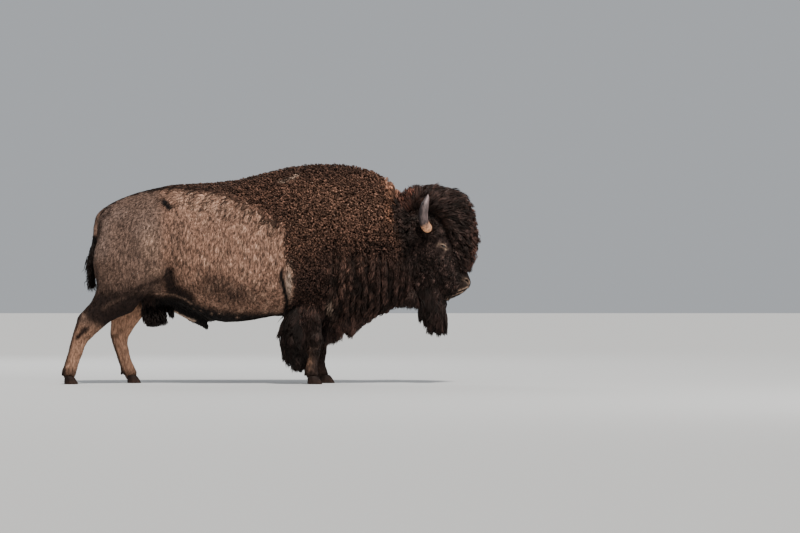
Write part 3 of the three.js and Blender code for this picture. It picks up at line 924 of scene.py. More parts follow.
    # hind shanks
    legs = leg_share(p) * (x < -900)
    # The far hind leg painted lighter than the near one: painted light in place of the sun that the trunk
    # keeps from it.
    paint(SHANK * np.where(near, 1.0, 1.7)[:, None], 0.9 * legs * np.where(near, ramp(560, 400, z), 1))
    far_thigh = ~near * ramp(110, 140, y) * ramp(800, 690, z)
    paint(SHANK * 1.5, 0.8 * far_thigh * ramp(700, 600, z) * (x < -1100))
    # Painted shadow below the far thigh's lower edge.
    paint(DARK, 0.8 * far_thigh * ramp(565, 640, z - 0.25 * (x + 1300) + 14 * small) * (x < -1000))
    paint(THIGH * 0.85, 0.7 * legs * ramp(400, 560, z) * near)
    # Painted shade on the near gaskin, below the flank and above the hock.
    above_hock = z - (520 - 0.42 * (x + 1600)) + 14 * small
    below_flank = ramp(850, 690, z + 30 * mid) * (x < -1030)
    paint(DARK * 0.85, near * ramp(-30, 50, above_hock) * below_flank)
    paint(THIGH, 0.5 * legs * ramp(0.0, 0.8, small + 0.5 * mid) * ramp(520, 440, z))
    patch(BARREL_PALE, 0.5 * near, [-1600, 180, 540], [34, 90, 50], 0.6 + 0.6 * small)
    paint(THIGH, 0.5 * near * line([[-1440, 610], [-1370, 660], [-1270, 700]], 14, 4 * small))
    # Painted shade on the rear of the thigh above the hocks.
    paint(DARK, 0.6 * ramp(-1455, -1500, x) * ramp(620, 720, z) * ramp(1000, 860, z))
    # Painted shade in the hollow of each hock, stronger on the near leg.
    for shift_x, shift_z, strength in ((0, 0, 1.0 * near), (240, -30, 0.45 * ~near)):
        hollow, _ = to_polyline(x - shift_x, z - shift_z, HOCK_HOLLOW_SHADE)
        paint(DARK, strength * ramp(36, 6, hollow + 12 * small + 6 * mid))
    # The shanks' rear edges darker: partly dark hair, partly painted shade.
    for rear_line, side, wide in ((NEAR_SHANK_REAR, near, 22), (FAR_SHANK_REAR, ~near, 32)):
        rear_edge = height_on(rear_line, z)
        paint(DARK, 0.85 * legs * side * ramp(wide, 0.35 * wide, x - rear_edge + 4 * small))
    paint(FORE_SHANK, 0.7 * legs * ramp(175, 85, z + 40 * mid + 20 * small))
    # tail
    from_tail, _ = to_polyline(x, z, TAIL_LINE)
    paint(DARK, 0.8 * bell((from_tail - 30) / 22) * ramp(22, 40, y) * (x < -1380))
    paint(THIGH * 1.3, ramp(42, 28, from_tail) * ramp(48, 34, y) * (x < -1440))
    paint(NEAR_BLACK, ramp(-1498, -1514, x) * ramp(1215, 1180, z + 14 * small) * (y < 90))
    # cape
    soft = ramp(1240, 1400, z)
    inside = ramp(-14 - 26 * soft, 12 + 10 * soft, inset + (8 + 12 * soft) * small)
    cape.paint(HUMP_TOP, 0.85 * ramp(190, 40, from_back + 40 * mid) * ramp(800, 560, x))
    patch(CAPE_PALE, 0.75, [450, 330, 1490], [330, 300, 190], 0.7 + 0.5 * big, cape)
    patch(CAPE_PALE, 0.4, [170, 330, 1350], [120, 300, 230], 0.8 + 0.3 * mid, cape)
    patch(CAPE_PALE, 0.35, [790, 250, 1420], [110, 200, 170], 0.7 + 0.6 * mid, cape)
    cape.paint(SHOULDER_LOW, 0.8 * ramp(1210, 860, z + 70 * mid - 0.18 * (x - 300)))
    patch(SHOULDER_LOW, 0.45, [390, 330, 1060], [110, 200, 120], coat=cape)
    cape.paint(NECK_LOW, 0.8 * ramp(1180, 820, z + 50 * mid) * ramp(520, 860, x))
    cape.paint(SHOULDER_LOW * 1.3, 0.7 * ramp(760, 600, z))
    cape.paint(HAIR_BLACK, 0.7 * ramp(840, 940, x) * ramp(900, 740, z))
    cape.paint(RUST, (0.95 - 0.45 * ramp(1500, 1590, z)) * line(RUST_BAND, 38, 8 * small))
    patch(RED_BROWN, 0.8, [975, 150, 1440], [80, 260, 130], coat=cape)
    mop = ramp(925, 1010, x + 0.35 * (z - 1100) - 0.32 * np.clip(z - 1350, 0, 200))
    cape.paint(BLACK_BROWN, mop * ramp(1540, 1440, z - 0.3 * (x - 950)))
    cape.paint(CREASE * 1.25, 1.8 * line(SCUFF, 12) * ramp(-0.2, 0.3, streak + small) * near)
    paint(cape.colour, inside)
    # bare fold behind the elbow, and painted shade in the crease before it
    edge = ramp(105, 80, x + 6 * small) * ramp(-6, 14, x)
    paint(CREASE, 1.5 * blob(p, *BARE_FOLD) * edge)
    paint(NEAR_BLACK, 1.6 * bell((x - height_on(ELBOW_CREASE_SHADE, z)) / 15) * ramp(960, 900, z) * (z > 480))
    # fore shanks
    legs = leg_share(p) * (x > 0)
    paint(BLACK_BROWN, 0.9 * legs)
    paint(FORE_SHANK, 0.95 * legs * ramp(430, 290, z + 20 * small))
    patch(SHANK, 0.55 * legs * near, [215, 165, 180], [30, 90, 80], 0.8 + 0.8 * small)
    patch(CREASE, 1.5 * near, [400, 250, 650], [36, 200, 66], ramp(-0.5, 0.2, streak + small))
    # head
    head = ramp(1015, 1085, x + 0.3 * (z - 1150)) * (z < 1700)
    paint(BLACK_BROWN, head)
    above_brow = ramp(20, 110, z - (1560 - 0.62 * (x - 1000)))
    rim = ramp(-20, 70, x - height_on(BROW_LINE, z)) * ramp(930, 1010, z)
    paint(FORELOCK_BROWN, head * np.maximum(0.08 * above_brow, 0.62 * rim) * (0.8 + 0.4 * mid))
    paint(RED_BROWN, 0.75 * head * ramp(1340, 1460, z + 40 * mid) * ramp(1160, 1000, x))
    patch(HAIR_BLACK, 0.8 * head, [1130, 200, 1400], [130, 260, 110])
    patch(HAIR_BLACK, 0.6 * head, [1230, 200, 900], [150, 260, 130])
    paint_eye(short, p, small)
    paint(MUZZLE_SKIN, ramp(1440, 1478, up_nose(x, z)) * ramp(930, 880, z))
    place = nostril_place(p)
    # Pale rims of the nostrils and lips with painted highlights, brighter away from the midline.
    outer = 0.3 + 0.7 * ramp(40, 66, y)
    paint(MUZZLE_RIM_AND_HIGHLIGHT, 0.75 * opening(place, 30, 19, 60) * outer * uneven)
    from_mouth, _ = to_polyline(x, z, MOUTH)
    low_face = (x > 1350) & (z < 880)
    lip = bell((from_mouth - 10) / 6) * low_face
    paint(MUZZLE_RIM_AND_HIGHLIGHT, 0.85 * lip * (0.3 + 0.7 * ramp(24, 52, y)) * ramp(-0.6, 0.2, small))
    # Painted shade: black in the line of the mouth and inside the nostrils.
    paint(NEAR_BLACK, bell(from_mouth / 5) * low_face)
    paint(NEAR_BLACK, 1.4 * opening(place, *NOSTRIL_HOLE))
    lively = ramp(30, -30, inset) * (1 - leg_share(p))
    return short.colour * (1 + 0.1 * (big + mid + small) + lively * (0.16 * streak + 0.09 * hank))[:, None]


def paint_eye(coat, p, small):
    """Grey-brown skin around the eye, pale skin with painted highlights on the upper lid's crest, the corners
    and the lower lid, and black edges of the lids.
    """
    a, v, o = eye_frame(p)
    here = (o > -60) * (p[:, 0] > 1200)
    patch = bell((a + 4) / 60, (v - 2) / 33)
    coat.paint(EYE_PATCH, 0.95 * ramp(0.28, 0.62, patch + 0.16 * small) * here)
    tear_line = bell((a - 34 - 0.2 * v) / 12) * ramp(-95, -60, v) * (v < 0)
    coat.paint(EYE_PATCH, 0.6 * tear_line * here)
    # Pale skin with painted highlights: the upper lid's crest, the corners and the lower lid.
    crest = bell((a + 4) / 27, (v - 15 + 0.006 * a ** 2) / 5)
    corner = bell((a - 27) / 9, (v + 6) / 8)
    rear_corner = bell((a + 44) / 12, (v + 2) / 12)
    low_lid = bell((a - 2) / 24, (v + 14) / 4)
    light = 0.8 * crest + corner + 0.3 * low_lid + 0.15 * rear_corner
    coat.paint(LID_PALE_AND_HIGHLIGHT, light * (0.8 + 0.5 * small) * here)
    upper, lower = lid_edges(a)
    rim = np.minimum(np.abs(v - upper), np.abs(v - lower))
    coat.paint(NEAR_BLACK, 0.95 * bell(rim / 3.0) * (np.abs(a) < SLIT_HALF + 5) * here)


def streakiness(p):
    """How strongly the coat is streaked: less on the rump and least on the legs."""
    rump = ramp(-820, -1060, p[:, 0])
    return (1 - 0.2 * rump) * (1 - 0.25 * leg_share(p)) * (1 - 0.6 * ramp(1400, 1450, p[:, 0]))


def add_colours(mesh, colour, streaks=None):
    rgba = np.ones((len(colour), 4), np.float32)
    rgba[:, :3] = np.clip(colour, 0, 1)
    if streaks is not None:
        rgba[:, 3] = streaks
    mesh.color_attributes.new("marking", "FLOAT_COLOR", "POINT").data.foreach_set("color", rgba.ravel())


# Under the wool and the long hair the skin is darker, and black under the shaggiest.
skin_colour = markings(p)
woolly = ramp(0, 30, cape_inset(p)) * SHARE["body"] + SHARE["nape"] + SHARE["crown"] + SHARE["beard"]
woolly = np.clip(woolly + SHARE["brisket"] + SHARE["chaps"], 0, 1) * (1 - leg_share(p))
shaggy = np.clip(SHARE["chaps"] + SHARE["beard"], 0, 1)[:, None]
skin_colour = skin_colour * (1 - shaggy) + HAIR_BLACK * shaggy
add_colours(skin_mesh, skin_colour * (1 - 0.6 * woolly)[:, None], streakiness(p))


# ---------- materials
def surface(name, roughness, grain, strength, bump_depth, mottle=(9, 9, 9), mottle_strength=0.15,
            specular=0.3, tint=(1.0, 1.0, 1.0), strands=False):
    """A material with the marking's colour, broken by fine grain and broad mottling, and the grain's bump.
    grain and mottle are frequencies: per metre along X, Y and Z, or across and along each strand."""
    mat = bpy.data.materials.new(name)
    mat.use_nodes = True
    nodes, links = mat.node_tree.nodes, mat.node_tree.links

    def node(kind, **values):
        """A node with values or links on its inputs: by name, with _ for a space, or by i and a number."""
        made = nodes.new("ShaderNode" + kind)
        for key, value in values.items():
            socket = made.inputs[int(key[1:]) if key[1:].isdigit() else key.replace("_", " ")]
            if isinstance(value, bpy.types.NodeSocket):
                links.new(value, socket)
            else:
                socket.default_value = value
        return made

    def attribute(called):
        made = node("Attribute")
        made.attribute_name = called
        return made.outputs

    shader = nodes["Principled BSDF"].inputs
    shader["Roughness"].default_value = roughness
    shader["Specular IOR Level"].default_value = specular
    shader["Specular Tint"].default_value = (*tint, 1.0)
    place = node("TexCoord").outputs["Object"]
    marking, strand = attribute("marking"), attribute("strand")

    def noise(frequency, detail, source):
        where = node("Mapping", Scale=frequency, Vector=source).outputs["Vector"]
        return node("TexNoise", Scale=1.0, Detail=detail, Roughness=0.6, Vector=where).outputs["Fac"]

    def scaled(colour, value, amount):
        """The colour times 1 - amount to 1 + amount by a noise, less where the marking's alpha is low."""
        spread = node("MapRange", From_Min=0.34, From_Max=0.66, To_Min=-amount, To_Max=amount, Value=value)
        factor = node("Math", i0=spread.outputs["Result"], i1=marking["Alpha"], i2=1.0)
        factor.operation = "MULTIPLY_ADD"
        scale = node("VectorMath", i0=colour)
        scale.operation = "SCALE"
        links.new(factor.outputs["Value"], scale.inputs["Scale"])
        return scale.outputs["Vector"]

    fine = noise(grain, 2.0, strand["Vector"]) if strands else noise(grain, 3.0, place)
    colour = scaled(marking["Color"], fine, strength)
    colour = scaled(colour, noise(mottle, 2.0, place), mottle_strength)
    links.new(colour, shader["Base Color"])
    bump = node("Bump", Strength=1.0, Distance=bump_depth, Height=fine)
    links.new(bump.outputs["Normal"], shader["Normal"])
    return mat


HAIR_GLOSS = (1.0, 0.86, 0.78)
SHORT_GRAIN = dict(mottle=(64, 64, 20), mottle_strength=0.6, specular=0.15)
SKIN_COAT = surface("short_hide", 0.82, (150, 150, 30), 0.5, 0.004, **SHORT_GRAIN)
SHORT_LOCKS = surface("short_hair", 0.72, (150, 150, 30), 0.4, 0.0005, tint=HAIR_GLOSS, **SHORT_GRAIN)
WOOL_LOCKS = surface("wool", 0.78, (6.0, 1.3, 1.0), 0.5, 0.002, mottle=(20, 20, 20), mottle_strength=0.3,
                     specular=0.25, tint=HAIR_GLOSS, strands=True)
LONG_LOCKS = surface("long_hair", 0.5, (6.5, 1.1, 1.0), 0.6, 0.002, mottle=(24, 24, 9), mottle_strength=0.4,
                     specular=0.24, tint=HAIR_GLOSS, strands=True)
BARE_SKIN = surface("bare_skin", 0.62, (260, 260, 260), 0.45, 0.0018, mottle=(60, 60, 60),
                    mottle_strength=0.45, specular=0.2, tint=HAIR_GLOSS)
HORN_MAT = surface("horn_sheath", 0.5, (230, 230, 26), 0.4, 0.0012, mottle=(70, 70, 11), mottle_strength=0.35,
                   specular=0.35)
HOOF_MAT = surface("hoof_wall", 0.66, (60, 60, 320), 0.3, 0.0008, mottle=(30, 30, 20), mottle_strength=0.3,
                   specular=0.2, tint=HAIR_GLOSS)
EYE_MAT = surface("eyeball", 0.1, (60, 60, 60), 0.1, 0.00001, specular=0.4)

skin_mesh.materials.append(SKIN_COAT)
skin_mesh.materials.append(BARE_SKIN)
a, v, o = eye_frame(p)
bare = (up_nose(p[:, 0], p[:, 2]) > 1452) & (p[:, 2] < 900)
bare |= (np.hypot(a / 1.6, v) < 26) & (o > -40) & (p[:, 0] > 1200)
for polygon in skin_mesh.polygons:
    polygon.material_index = int(bare[polygon.vertices[0]])
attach(skin, "root")
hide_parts(*BODY_NODES, *HEAD_NODES, *HAIR_NODES)


# ---------- room between skin and coat's tips
outer_nodes = [n for n in NODES if not n.startswith("eye") and "hoof" not in n and "horn" not in n]
outer = voxel_union("outer", [node_form(n, OVERLAP / 2) for n in outer_nodes], OUTER_VOXEL)
outer_tree = BVHTree.FromPolygons(relaxed(coords(outer), edges_of(outer), 4).tolist(), faces_of(outer))
bpy.data.meshes.remove(outer)
skin_normal = unit(averaged(normals_of(skin_mesh), edges, 3))
LEAST_ROOM, FARTHEST = 6.0, 0.2
room = np.full(len(co), LEAST_ROOM)
for i, (place, direction) in enumerate(zip(co.tolist(), skin_normal.tolist())):
    _, _, _, distance = outer_tree.ray_cast(place, direction, FARTHEST)
    if distance is not None:
        room[i] = distance / MM
room = averaged(room, edges, 4)


# ---------- the coat
skin_mesh.calc_loop_triangles()
TRI = read(skin_mesh.loop_triangles, "vertices", 3, np.int32)
TRI_LOOPS = read(skin_mesh.loop_triangles, "loops", 3, np.int32)
UV = read(skin_mesh.uv_layers["OFBake"].uv, "vector", 2).astype(float)
CORNER = co[TRI]
AREA = np.linalg.norm(np.cross(CORNER[:, 1] - CORNER[:, 0], CORNER[:, 2] - CORNER[:, 0]), axis=1) / 2
skin_points = p
hank_tone = Waves(40, 51, stretch=(1, 1, 2.0))
hank_height = Waves(52, 52, stretch=(1, 1, 1.6))


def scatter(density, count, seed):
    """Roots spread evenly over the skin by a density on its vertices: place, normal, UV and room."""
    r = np.random.default_rng(seed)
    weight = AREA * density[TRI].mean(1)
    total = np.cumsum(weight)
    pick = np.searchsorted(total, (np.arange(count) + r.random(count)) / count * total[-1])
    pick = np.minimum(pick, len(TRI) - 1)
    s, t = r.random((2, count))
    over = s + t > 1
    s, t = np.where(over, 1 - s, s), np.where(over, 1 - t, t)
    w = np.column_stack([1 - s - t, s, t])
    tri = TRI[pick]
    place = (skin_points[tri] * w[:, :, None]).sum(1)
    normal = unit((skin_normal[tri] * w[:, :, None]).sum(1))
    uv = (UV[TRI_LOOPS[pick]] * w[:, :, None]).sum(1)
    return {"at": place, "normal": normal, "uv": uv, "room": (room[tri] * w).sum(1), "rng": r}


def laid_along(roots, *parts):
    """Paths from the roots, by directions at each root and the distances gone in each along the lock."""
    path = roots["at"][:, None, :]
    for direction, distance in parts:
        path = path + direction[:, None, :] * distance[..., None]
    return path


def along_skin(direction, normal):
    d = np.broadcast_to(np.asarray(direction, float), normal.shape)
    return unit(d - normal * (d * normal).sum(1, keepdims=True))


def turned(direction, normal, angle):
    """A direction on the skin, turned about the normal."""
    across = np.cross(normal, direction)
    return direction * np.cos(angle)[:, None] + across * np.sin(angle)[:, None]


def rooted(density, count, seed, flow, stray):
    """Roots and their random source, place and normal, and the directions along and across each lock."""
    roots = scatter(density, count, seed)
    at, normal, r = roots["at"], roots["normal"], roots["rng"]
    d = turned(along_skin(flow(at), normal), normal, r.normal(0, stray, count))
    return roots, r, at, normal, d, np.cross(normal, d)


def clump_leaders(roots, size, seed):
    """For each lock, the lock at the middle of its clump."""
    r = np.random.default_rng(seed)
    n = len(roots["at"])
    heads = r.choice(n, max(n // size, 1), replace=False)
    kd = KDTree(len(heads))
    for head in heads:
        kd.insert(roots["at"][head], int(head))
    kd.balance()
    return np.array([kd.find(c)[1] for c in roots["at"]])


def drawn_together(path, leader, pull, reach):
    """Draws the tips of the locks towards the tip of their clump's leader, the short ones hardly at all."""
    s = np.linspace(0, 1, path.shape[1])[None, :, None]
    apart = (path[leader, -1] - path[:, -1]) * (pull * ramp(16, 52, reach))[:, None]
    most = 0.6 * reach / np.maximum(np.linalg.norm(apart, axis=1), 1e-6)
    return path + (apart * np.minimum(most, 1)[:, None])[:, None, :] * s ** 1.4


def finish_piece(name, mesh, material, slot, *nodes):
    """Puts a mesh in the scene as a piece of the animal, in the place of the nodes that it stands for."""
    shade_smooth(mesh)
    mesh.materials.append(material)
    obj = new_object(name, mesh)
    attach(obj, "root")
    if nodes:
        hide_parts(*nodes)


LIMIT = 190000      # triangles in a piece of the coat
PATCH = 0.0014      # half the side of a lock's patch on the unwrap


def hair_mesh(name, roots, path, width, thick, shade, slot, material, colour=None, root_shade=0.6,
              tip_shade=1.2):
    """Closed locks of three sides along their paths, tapering to a point, in pieces under the limit."""
    n, rings = path.shape[0], path.shape[1] - 1
    tangent = unit(np.gradient(path, axis=1))
    normal = roots["normal"][:, None, :]
    across = unit(np.cross(np.broadcast_to(normal, tangent.shape), tangent) + 1e-6)
    above = unit(np.cross(tangent, across))
    s = np.linspace(0, 1, rings + 1)[:-1]
    taper = (0.8 + 0.6 * s) * (1 - s ** 2.4) + 0.05
    half = 0.5 * width[:, None] * taper
    high = thick[:, None] * taper
    body = path[:, :-1]
    left = body - across[:, :-1] * half[..., None]
    right = body + across[:, :-1] * half[..., None]
    ridge = body + above[:, :-1] * high[..., None]
    verts = np.concatenate([np.stack([left, right, ridge], 2).reshape(n, rings * 3, 3), path[:, -1:]], 1)
    tris = [(0, 2, 1)]
    for i in range(rings - 1):
        for k in range(3):
            a, b = i * 3 + k, i * 3 + (k + 1) % 3
            tris += [(a, b, b + 3), (a, b + 3, a + 3)]
    last = (rings - 1) * 3
    tris += [(last + k, last + (k + 1) % 3, rings * 3) for k in range(3)]
    tris = np.array(tris, np.int32)
    if colour is None:
        colour = markings(roots["at"])
    along = np.append(np.repeat(s, 3), 1.0)
    # Darker towards the root and lighter at the tip: painted shade deep in the coat and painted light on the
    # tips.
    tone = root_shade + (tip_shade - root_shade) * np.clip(along * 1.5, 0, 1) ** 0.8
    colours = np.clip(colour[:, None, :] * shade[:, None, None] * tone[None, :, None], 0, 1)
    streaks = np.repeat(streakiness(roots["at"])[:, None], rings * 3 + 1, 1)
    across_lock = np.append(np.tile([-1.0, 1.0, 0.0], rings), 0.0)
    uv = roots["uv"][:, None, :] + np.stack([across_lock * PATCH, (along * 2 - 1) * PATCH], 1)[None]
    fibres = np.zeros((n, rings * 3 + 1, 3), np.float32)
    fibres[..., 0], fibres[..., 1] = across_lock, along
    fibres += roots["rng"].uniform(0, 90, (n, 1, 3)).astype(np.float32)
    pieces = math.ceil(n * len(tris) / LIMIT)
    order = np.argsort(roots["at"][:, 0], kind="stable")
    for number, chosen in enumerate(np.array_split(order, pieces)):
        index = (tris[None] + (np.arange(len(chosen)) * (rings * 3 + 1))[:, None, None]).reshape(-1, 3)
        label = name if pieces == 1 else f"{name}_{number + 1}"
        mesh = triangle_mesh(label, to_row(verts[chosen].reshape(-1, 3)), index)
        add_colours(mesh, colours[chosen].reshape(-1, 3), streaks[chosen].ravel())
        store(mesh, "strand", "FLOAT_VECTOR", "vector", fibres[chosen])
        layer = mesh.uv_layers.new(name="OFBake")
        layer.uv.foreach_set("vector", uv[chosen].reshape(-1, 2)[index.ravel()].astype(np.float32).ravel())
        finish_piece(label, mesh, material, slot)


def spread(r, n, low, high):
    return r.uniform(low, high, n)


def flat_tufts(name, density, n, seed, flow, length, width, lift, slot="dark_hair", material=SHORT_LOCKS,
               shade=(0.75, 1.3), segments=1):
    """Short hair that lies along the skin."""
    roots, r, at, normal, d, _ = rooted(density, n, seed, flow, 0.25)
    reach = length * spread(r, n, 0.7, 1.3)
    s = np.linspace(0, 1, segments + 1)[None, :, None]
    rise = reach * lift * spread(r, n, 0.4, 1.6)
    path = (at[:, None, :] + d[:, None, :] * reach[:, None, None] * s
            + normal[:, None, :] * (rise[:, None, None] * s ** 0.7 - 1.2))
    wide = width * spread(r, n, 0.7, 1.3)
    tone = spread(r, n, *shade)
    hair_mesh(name, roots, path, wide, wide * 0.35, tone, slot, material, root_shade=0.9, tip_shade=1.08)


def ringlets(name, density, n, seed, length, radius, width, turns, flow, slot, material, segments, shade):
    """Short wool: each lock leaves the skin, turns in a coil and droops with the coat's lie."""
    roots, r, at, normal, d, across = rooted(density, n, seed, flow, 0.5)
    tall = np.clip(roots["room"] * 0.9, 5, length) * spread(r, n, 0.72, 1.06)
    tone = np.exp(spread(r, n, *np.log(shade))) * (1 + 0.5 * hank_tone(at))
    tall *= 1 + 0.22 * hank_height(at)
    deep = in_grooves(at)
    tall *= 1 - 0.7 * deep
    # Painted shade on the locks down in the grooves.
    tone *= 1 - 0.75 * deep
    phase = r.uniform(0, 2 * math.pi, n)
    spin = turns * 2 * math.pi * np.where(r.random(n) < 0.5, -1, 1) * spread(r, n, 0.7, 1.2)
    s = np.linspace(0, 1, segments + 1)
    angle = phase[:, None] + spin[:, None] * s
    coil = radius * spread(r, n, 0.7, 1.3)
    wide_coil = coil[:, None] * (0.35 + 0.65 * np.sin(math.pi * np.clip(s, 0, 1) * 0.9))
    first = phase[:, None]
    sweep_d = wide_coil * (np.cos(angle) - np.cos(first) * (1 - s)) + 0.35 * tall[:, None] * s ** 1.5
    sweep_a = wide_coil * (np.sin(angle) - np.sin(first) * (1 - s))
    rise = tall[:, None] * np.sin(np.clip(s * 1.15, 0, 1) * math.pi / 2) - 3
    path = laid_along(roots, (d, sweep_d), (across, sweep_a), (normal, rise))
    wide = width * spread(r, n, 0.75, 1.25)
    hair_mesh(name, roots, path, wide, wide * 0.55, tone, slot, material, root_shade=0.45, tip_shade=1.25)


def tresses(name, density, n, seed, flow, length, width, slot="dark_hair", material=LONG_LOCKS,
            height=0.85, wave=0.06, waves=1.5, segments=3, turn=0.2, size=14, pull=0.55, shade=(0.4, 2.0),
            grooves=False, root_shade=0.4, full=False, flyaway=0.0, lean=None, least=4, most=400, bend=0.0,
            one_colour=None):
    """Long hair: locks that lean out to the coat's surface, wave, hang and draw together in clumps.

    length: in mm, or a function of place. height: the share of the room that they rise to, between least and
    most mm, and lowered by lean(place). full: none lies low. wave, waves: the sway as a share of the length,
    and its count. turn: how much they stray from the flow. size, pull: of the clumps. shade: the range of
    tones. flyaway: the share that stands proud. bend: follows a round form. dye: one colour for all."""
    roots, r, at, normal, d, across = rooted(density, n, seed, flow, turn)
    leader = clump_leaders(roots, size, seed + 1)
    proud = spread(r, n, 0, 1)[leader]
    reach = (length(at) if callable(length) else np.full(n, float(length))) * spread(r, n, 0.7, 1.15)
    room_here = np.clip(roots["room"] * height, least, most)
    if lean is not None:
        room_here = np.maximum(room_here * lean(at), 11)
    tall = np.minimum(room_here, 0.85 * reach) * spread(r, n, 0.7 if full else 0.35, 1.0)
    tall *= 0.74 + 0.34 * proud
    tall *= np.where(r.random(n) < flyaway, 1.27, 1.0)
    own = np.exp(spread(r, n, *np.log(shade)))
    # Clumps that lie lower are darker: painted shade between the clumps.
    tone = (own ** 0.5 * own[leader] ** 0.8) * (0.62 + 0.55 * proud) * (1 + 0.4 * hank_tone(at))
    if grooves:
        ridge, where = ridges(at)
        deep = np.clip(where * (1 - ridge) + 1.3 * in_grooves(at), 0, 1)
        tall *= 1 - 0.7 * deep
        # Painted shade on the locks down in the grooves.
        tone *= 1 - 0.75 * deep
    run = np.sqrt(np.maximum(reach ** 2 - tall ** 2, 1))
    s = np.linspace(0, 1, segments + 1)
    phase = r.uniform(0, 2 * math.pi, n)[:, None]
    sway = reach[:, None] * wave * (np.sin(phase + s * waves * 2 * math.pi) - np.sin(phase) * (1 - s))
    along = run[:, None] * s
    rise = tall[:, None] * np.sin(s * math.pi / 2) - 3 - along ** 2 * bend / 2
    path = laid_along(roots, (d, along), (across, sway), (normal, rise))
    path = drawn_together(path, leader, pull, reach)
    wide = width * spread(r, n, 0.7, 1.3) * np.clip(reach / 40, 0.42, 1)
    colour = None if one_colour is None else np.tile(one_colour, (n, 1))
    hair_mesh(name, roots, path, wide, wide * 0.45, tone, slot, material, colour, root_shade, 1.15)


x, y, z = skin_points.T
body, legs, face = SHARE["body"], leg_share(skin_points), SHARE["face"]
inset_cape = cape_inset(skin_points)
bare_patch = blob(skin_points, *BARE_FOLD) * (x < 104) > 0.25
wool_area = (body + SHARE["nape"]) * ramp(-12, 6, inset_cape) * (1 - legs) * (1 - bare_patch)
low = ramp(1190, 960, z) * ramp(300, 420, x)
low = np.clip(low + ramp(720, 620, z) * ramp(90, 160, x), 0, 1)
neck_place = x + 0.25 * (z - 1100)
near_head, jaw_edge = ramp(930, 1010, neck_place), ramp(1040, 1110, neck_place)
eye_a, eye_v, eye_o = eye_frame(skin_points)
by_mouth = to_polyline(x, z, MOUTH)[0]
by_sheath = to_polyline(x, z, SHEATH_EDGE)[0]


def lie(p, forward, up, side=0.0):
    """Directions of the hair at places, from its parts forward, up and to the left."""
    return np.column_stack([np.broadcast_to(part, len(p)) for part in (forward, side, up)])


def always(forward, up):
    return lambda p: lie(p, forward, up)


def cape_flow(p):
    back = ramp(1250, 1600, p[:, 2])
    return lie(p, -0.35 - 0.9 * back, -0.8)


def rear_flow(p):
    thigh = ramp(-850, -1050, p[:, 0])
    top = ramp(1350, 1600, p[:, 2])
    return lie(p, -0.28 - 0.5 * thigh - 1.2 * top, -1.0)


CROWN_HEART = np.array([1080.0, 0.0, 1330.0])


def crown_flow(p):
    """The mop's hair is combed out from the horns' bases and hangs over the face."""
    out = p - CROWN_HEART
    out[:, 1] *= 0.35
    out = unit(out)
    out[:, 2] -= 0.9 * ramp(1330, 1420, p[:, 0]) * ramp(1350, 1100, p[:, 2]) + 0.15
    return out


def eye_distance(p):
    return np.linalg.norm(folded(p) - EYE - [0, 0, 20], axis=1)


def crown_length(p):
    over_brow = 66 * ramp(1380, 1480, p[:, 2]) * ramp(1020, 1100, p[:, 0])
    full = 60 + 58 * ramp(960, 1060, p[:, 0]) + over_brow
    return full * (0.35 + 0.65 * ramp(90, 190, eye_distance(p)))


HORN_ROOT = [1171, 1263]
from_horn = np.hypot(x - HORN_ROOT[0], z - HORN_ROOT[1])


def round_horn(p):
    """Round the horn's root, so that the hair hugs it."""
    hand = np.sign(p[:, 1])
    return lie(p, hand * (p[:, 2] - HORN_ROOT[1]), -hand * (p[:, 0] - HORN_ROOT[0]))


def throat(p):
    return ramp(1160, 1100, p[:, 0]) * ramp(860, 770, p[:, 2])


def cheek_flow(p):
    return lie(p, -0.5 + 0.4 * throat(p), -0.9)


THROAT_HEM = 600


def cheek_length(p):
    clear = ramp(55, 125, eye_distance(p))
    near_eye = (46 + 20 * ramp(1050, 800, p[:, 2])) * (0.22 + 0.78 * clear)
    hem = throat(p) * np.clip(p[:, 2] - THROAT_HEM - 66, 0, 100)
    return near_eye * ramp(1520, 1400, p[:, 0]) + hem


def down_to(level, least, most):
    """A length of hair that hangs down to a level."""
    return lambda p: np.clip(p[:, 2] - level, least, most)


# The hem of the brisket's hair, x and z.
HEM = [[330, 330], [340, 330], [423, 300], [504, 425], [575, 358], [646, 446], [737, 516], [910, 606],
       [1060, 606]]


def hem_length(p):
    return np.clip(p[:, 2] - height_on(HEM, p[:, 0]), 40, 170)


def chaps_flow(p):
    """Back from the elbow, then down and forward to the point of the chaps."""
    return lie(p, -0.3 * ramp(380, 560, p[:, 2]) + 0.35 * ramp(360, 180, p[:, 2]), -1.0)


def beard_lean(p):
    return (0.3 + 0.7 * ramp(800, 660, p[:, 2])) * (0.6 + 0.4 * ramp(1140, 1230, p[:, 0]))


def chaps_lean(p):
    return 0.3 + 0.7 * ramp(650, 520, p[:, 2])


def forearm_length(p):
    return 34 + 44 * ramp(300, 420, p[:, 2])


def groin_length(p):
    """Long behind, and short above the bare lower edge of the sheath."""
    edge = height_on(SHEATH_EDGE, p[:, 0])
    above = (p[:, 0] > -925) & (p[:, 0] < -700) & (p[:, 2] > edge)
    free = np.clip(p[:, 2] - 470 + 20 * ramp(-950, -1000, p[:, 0]), 20, 62)
    return np.where(above, np.clip(p[:, 2] - edge - 16, 12, 62), free)


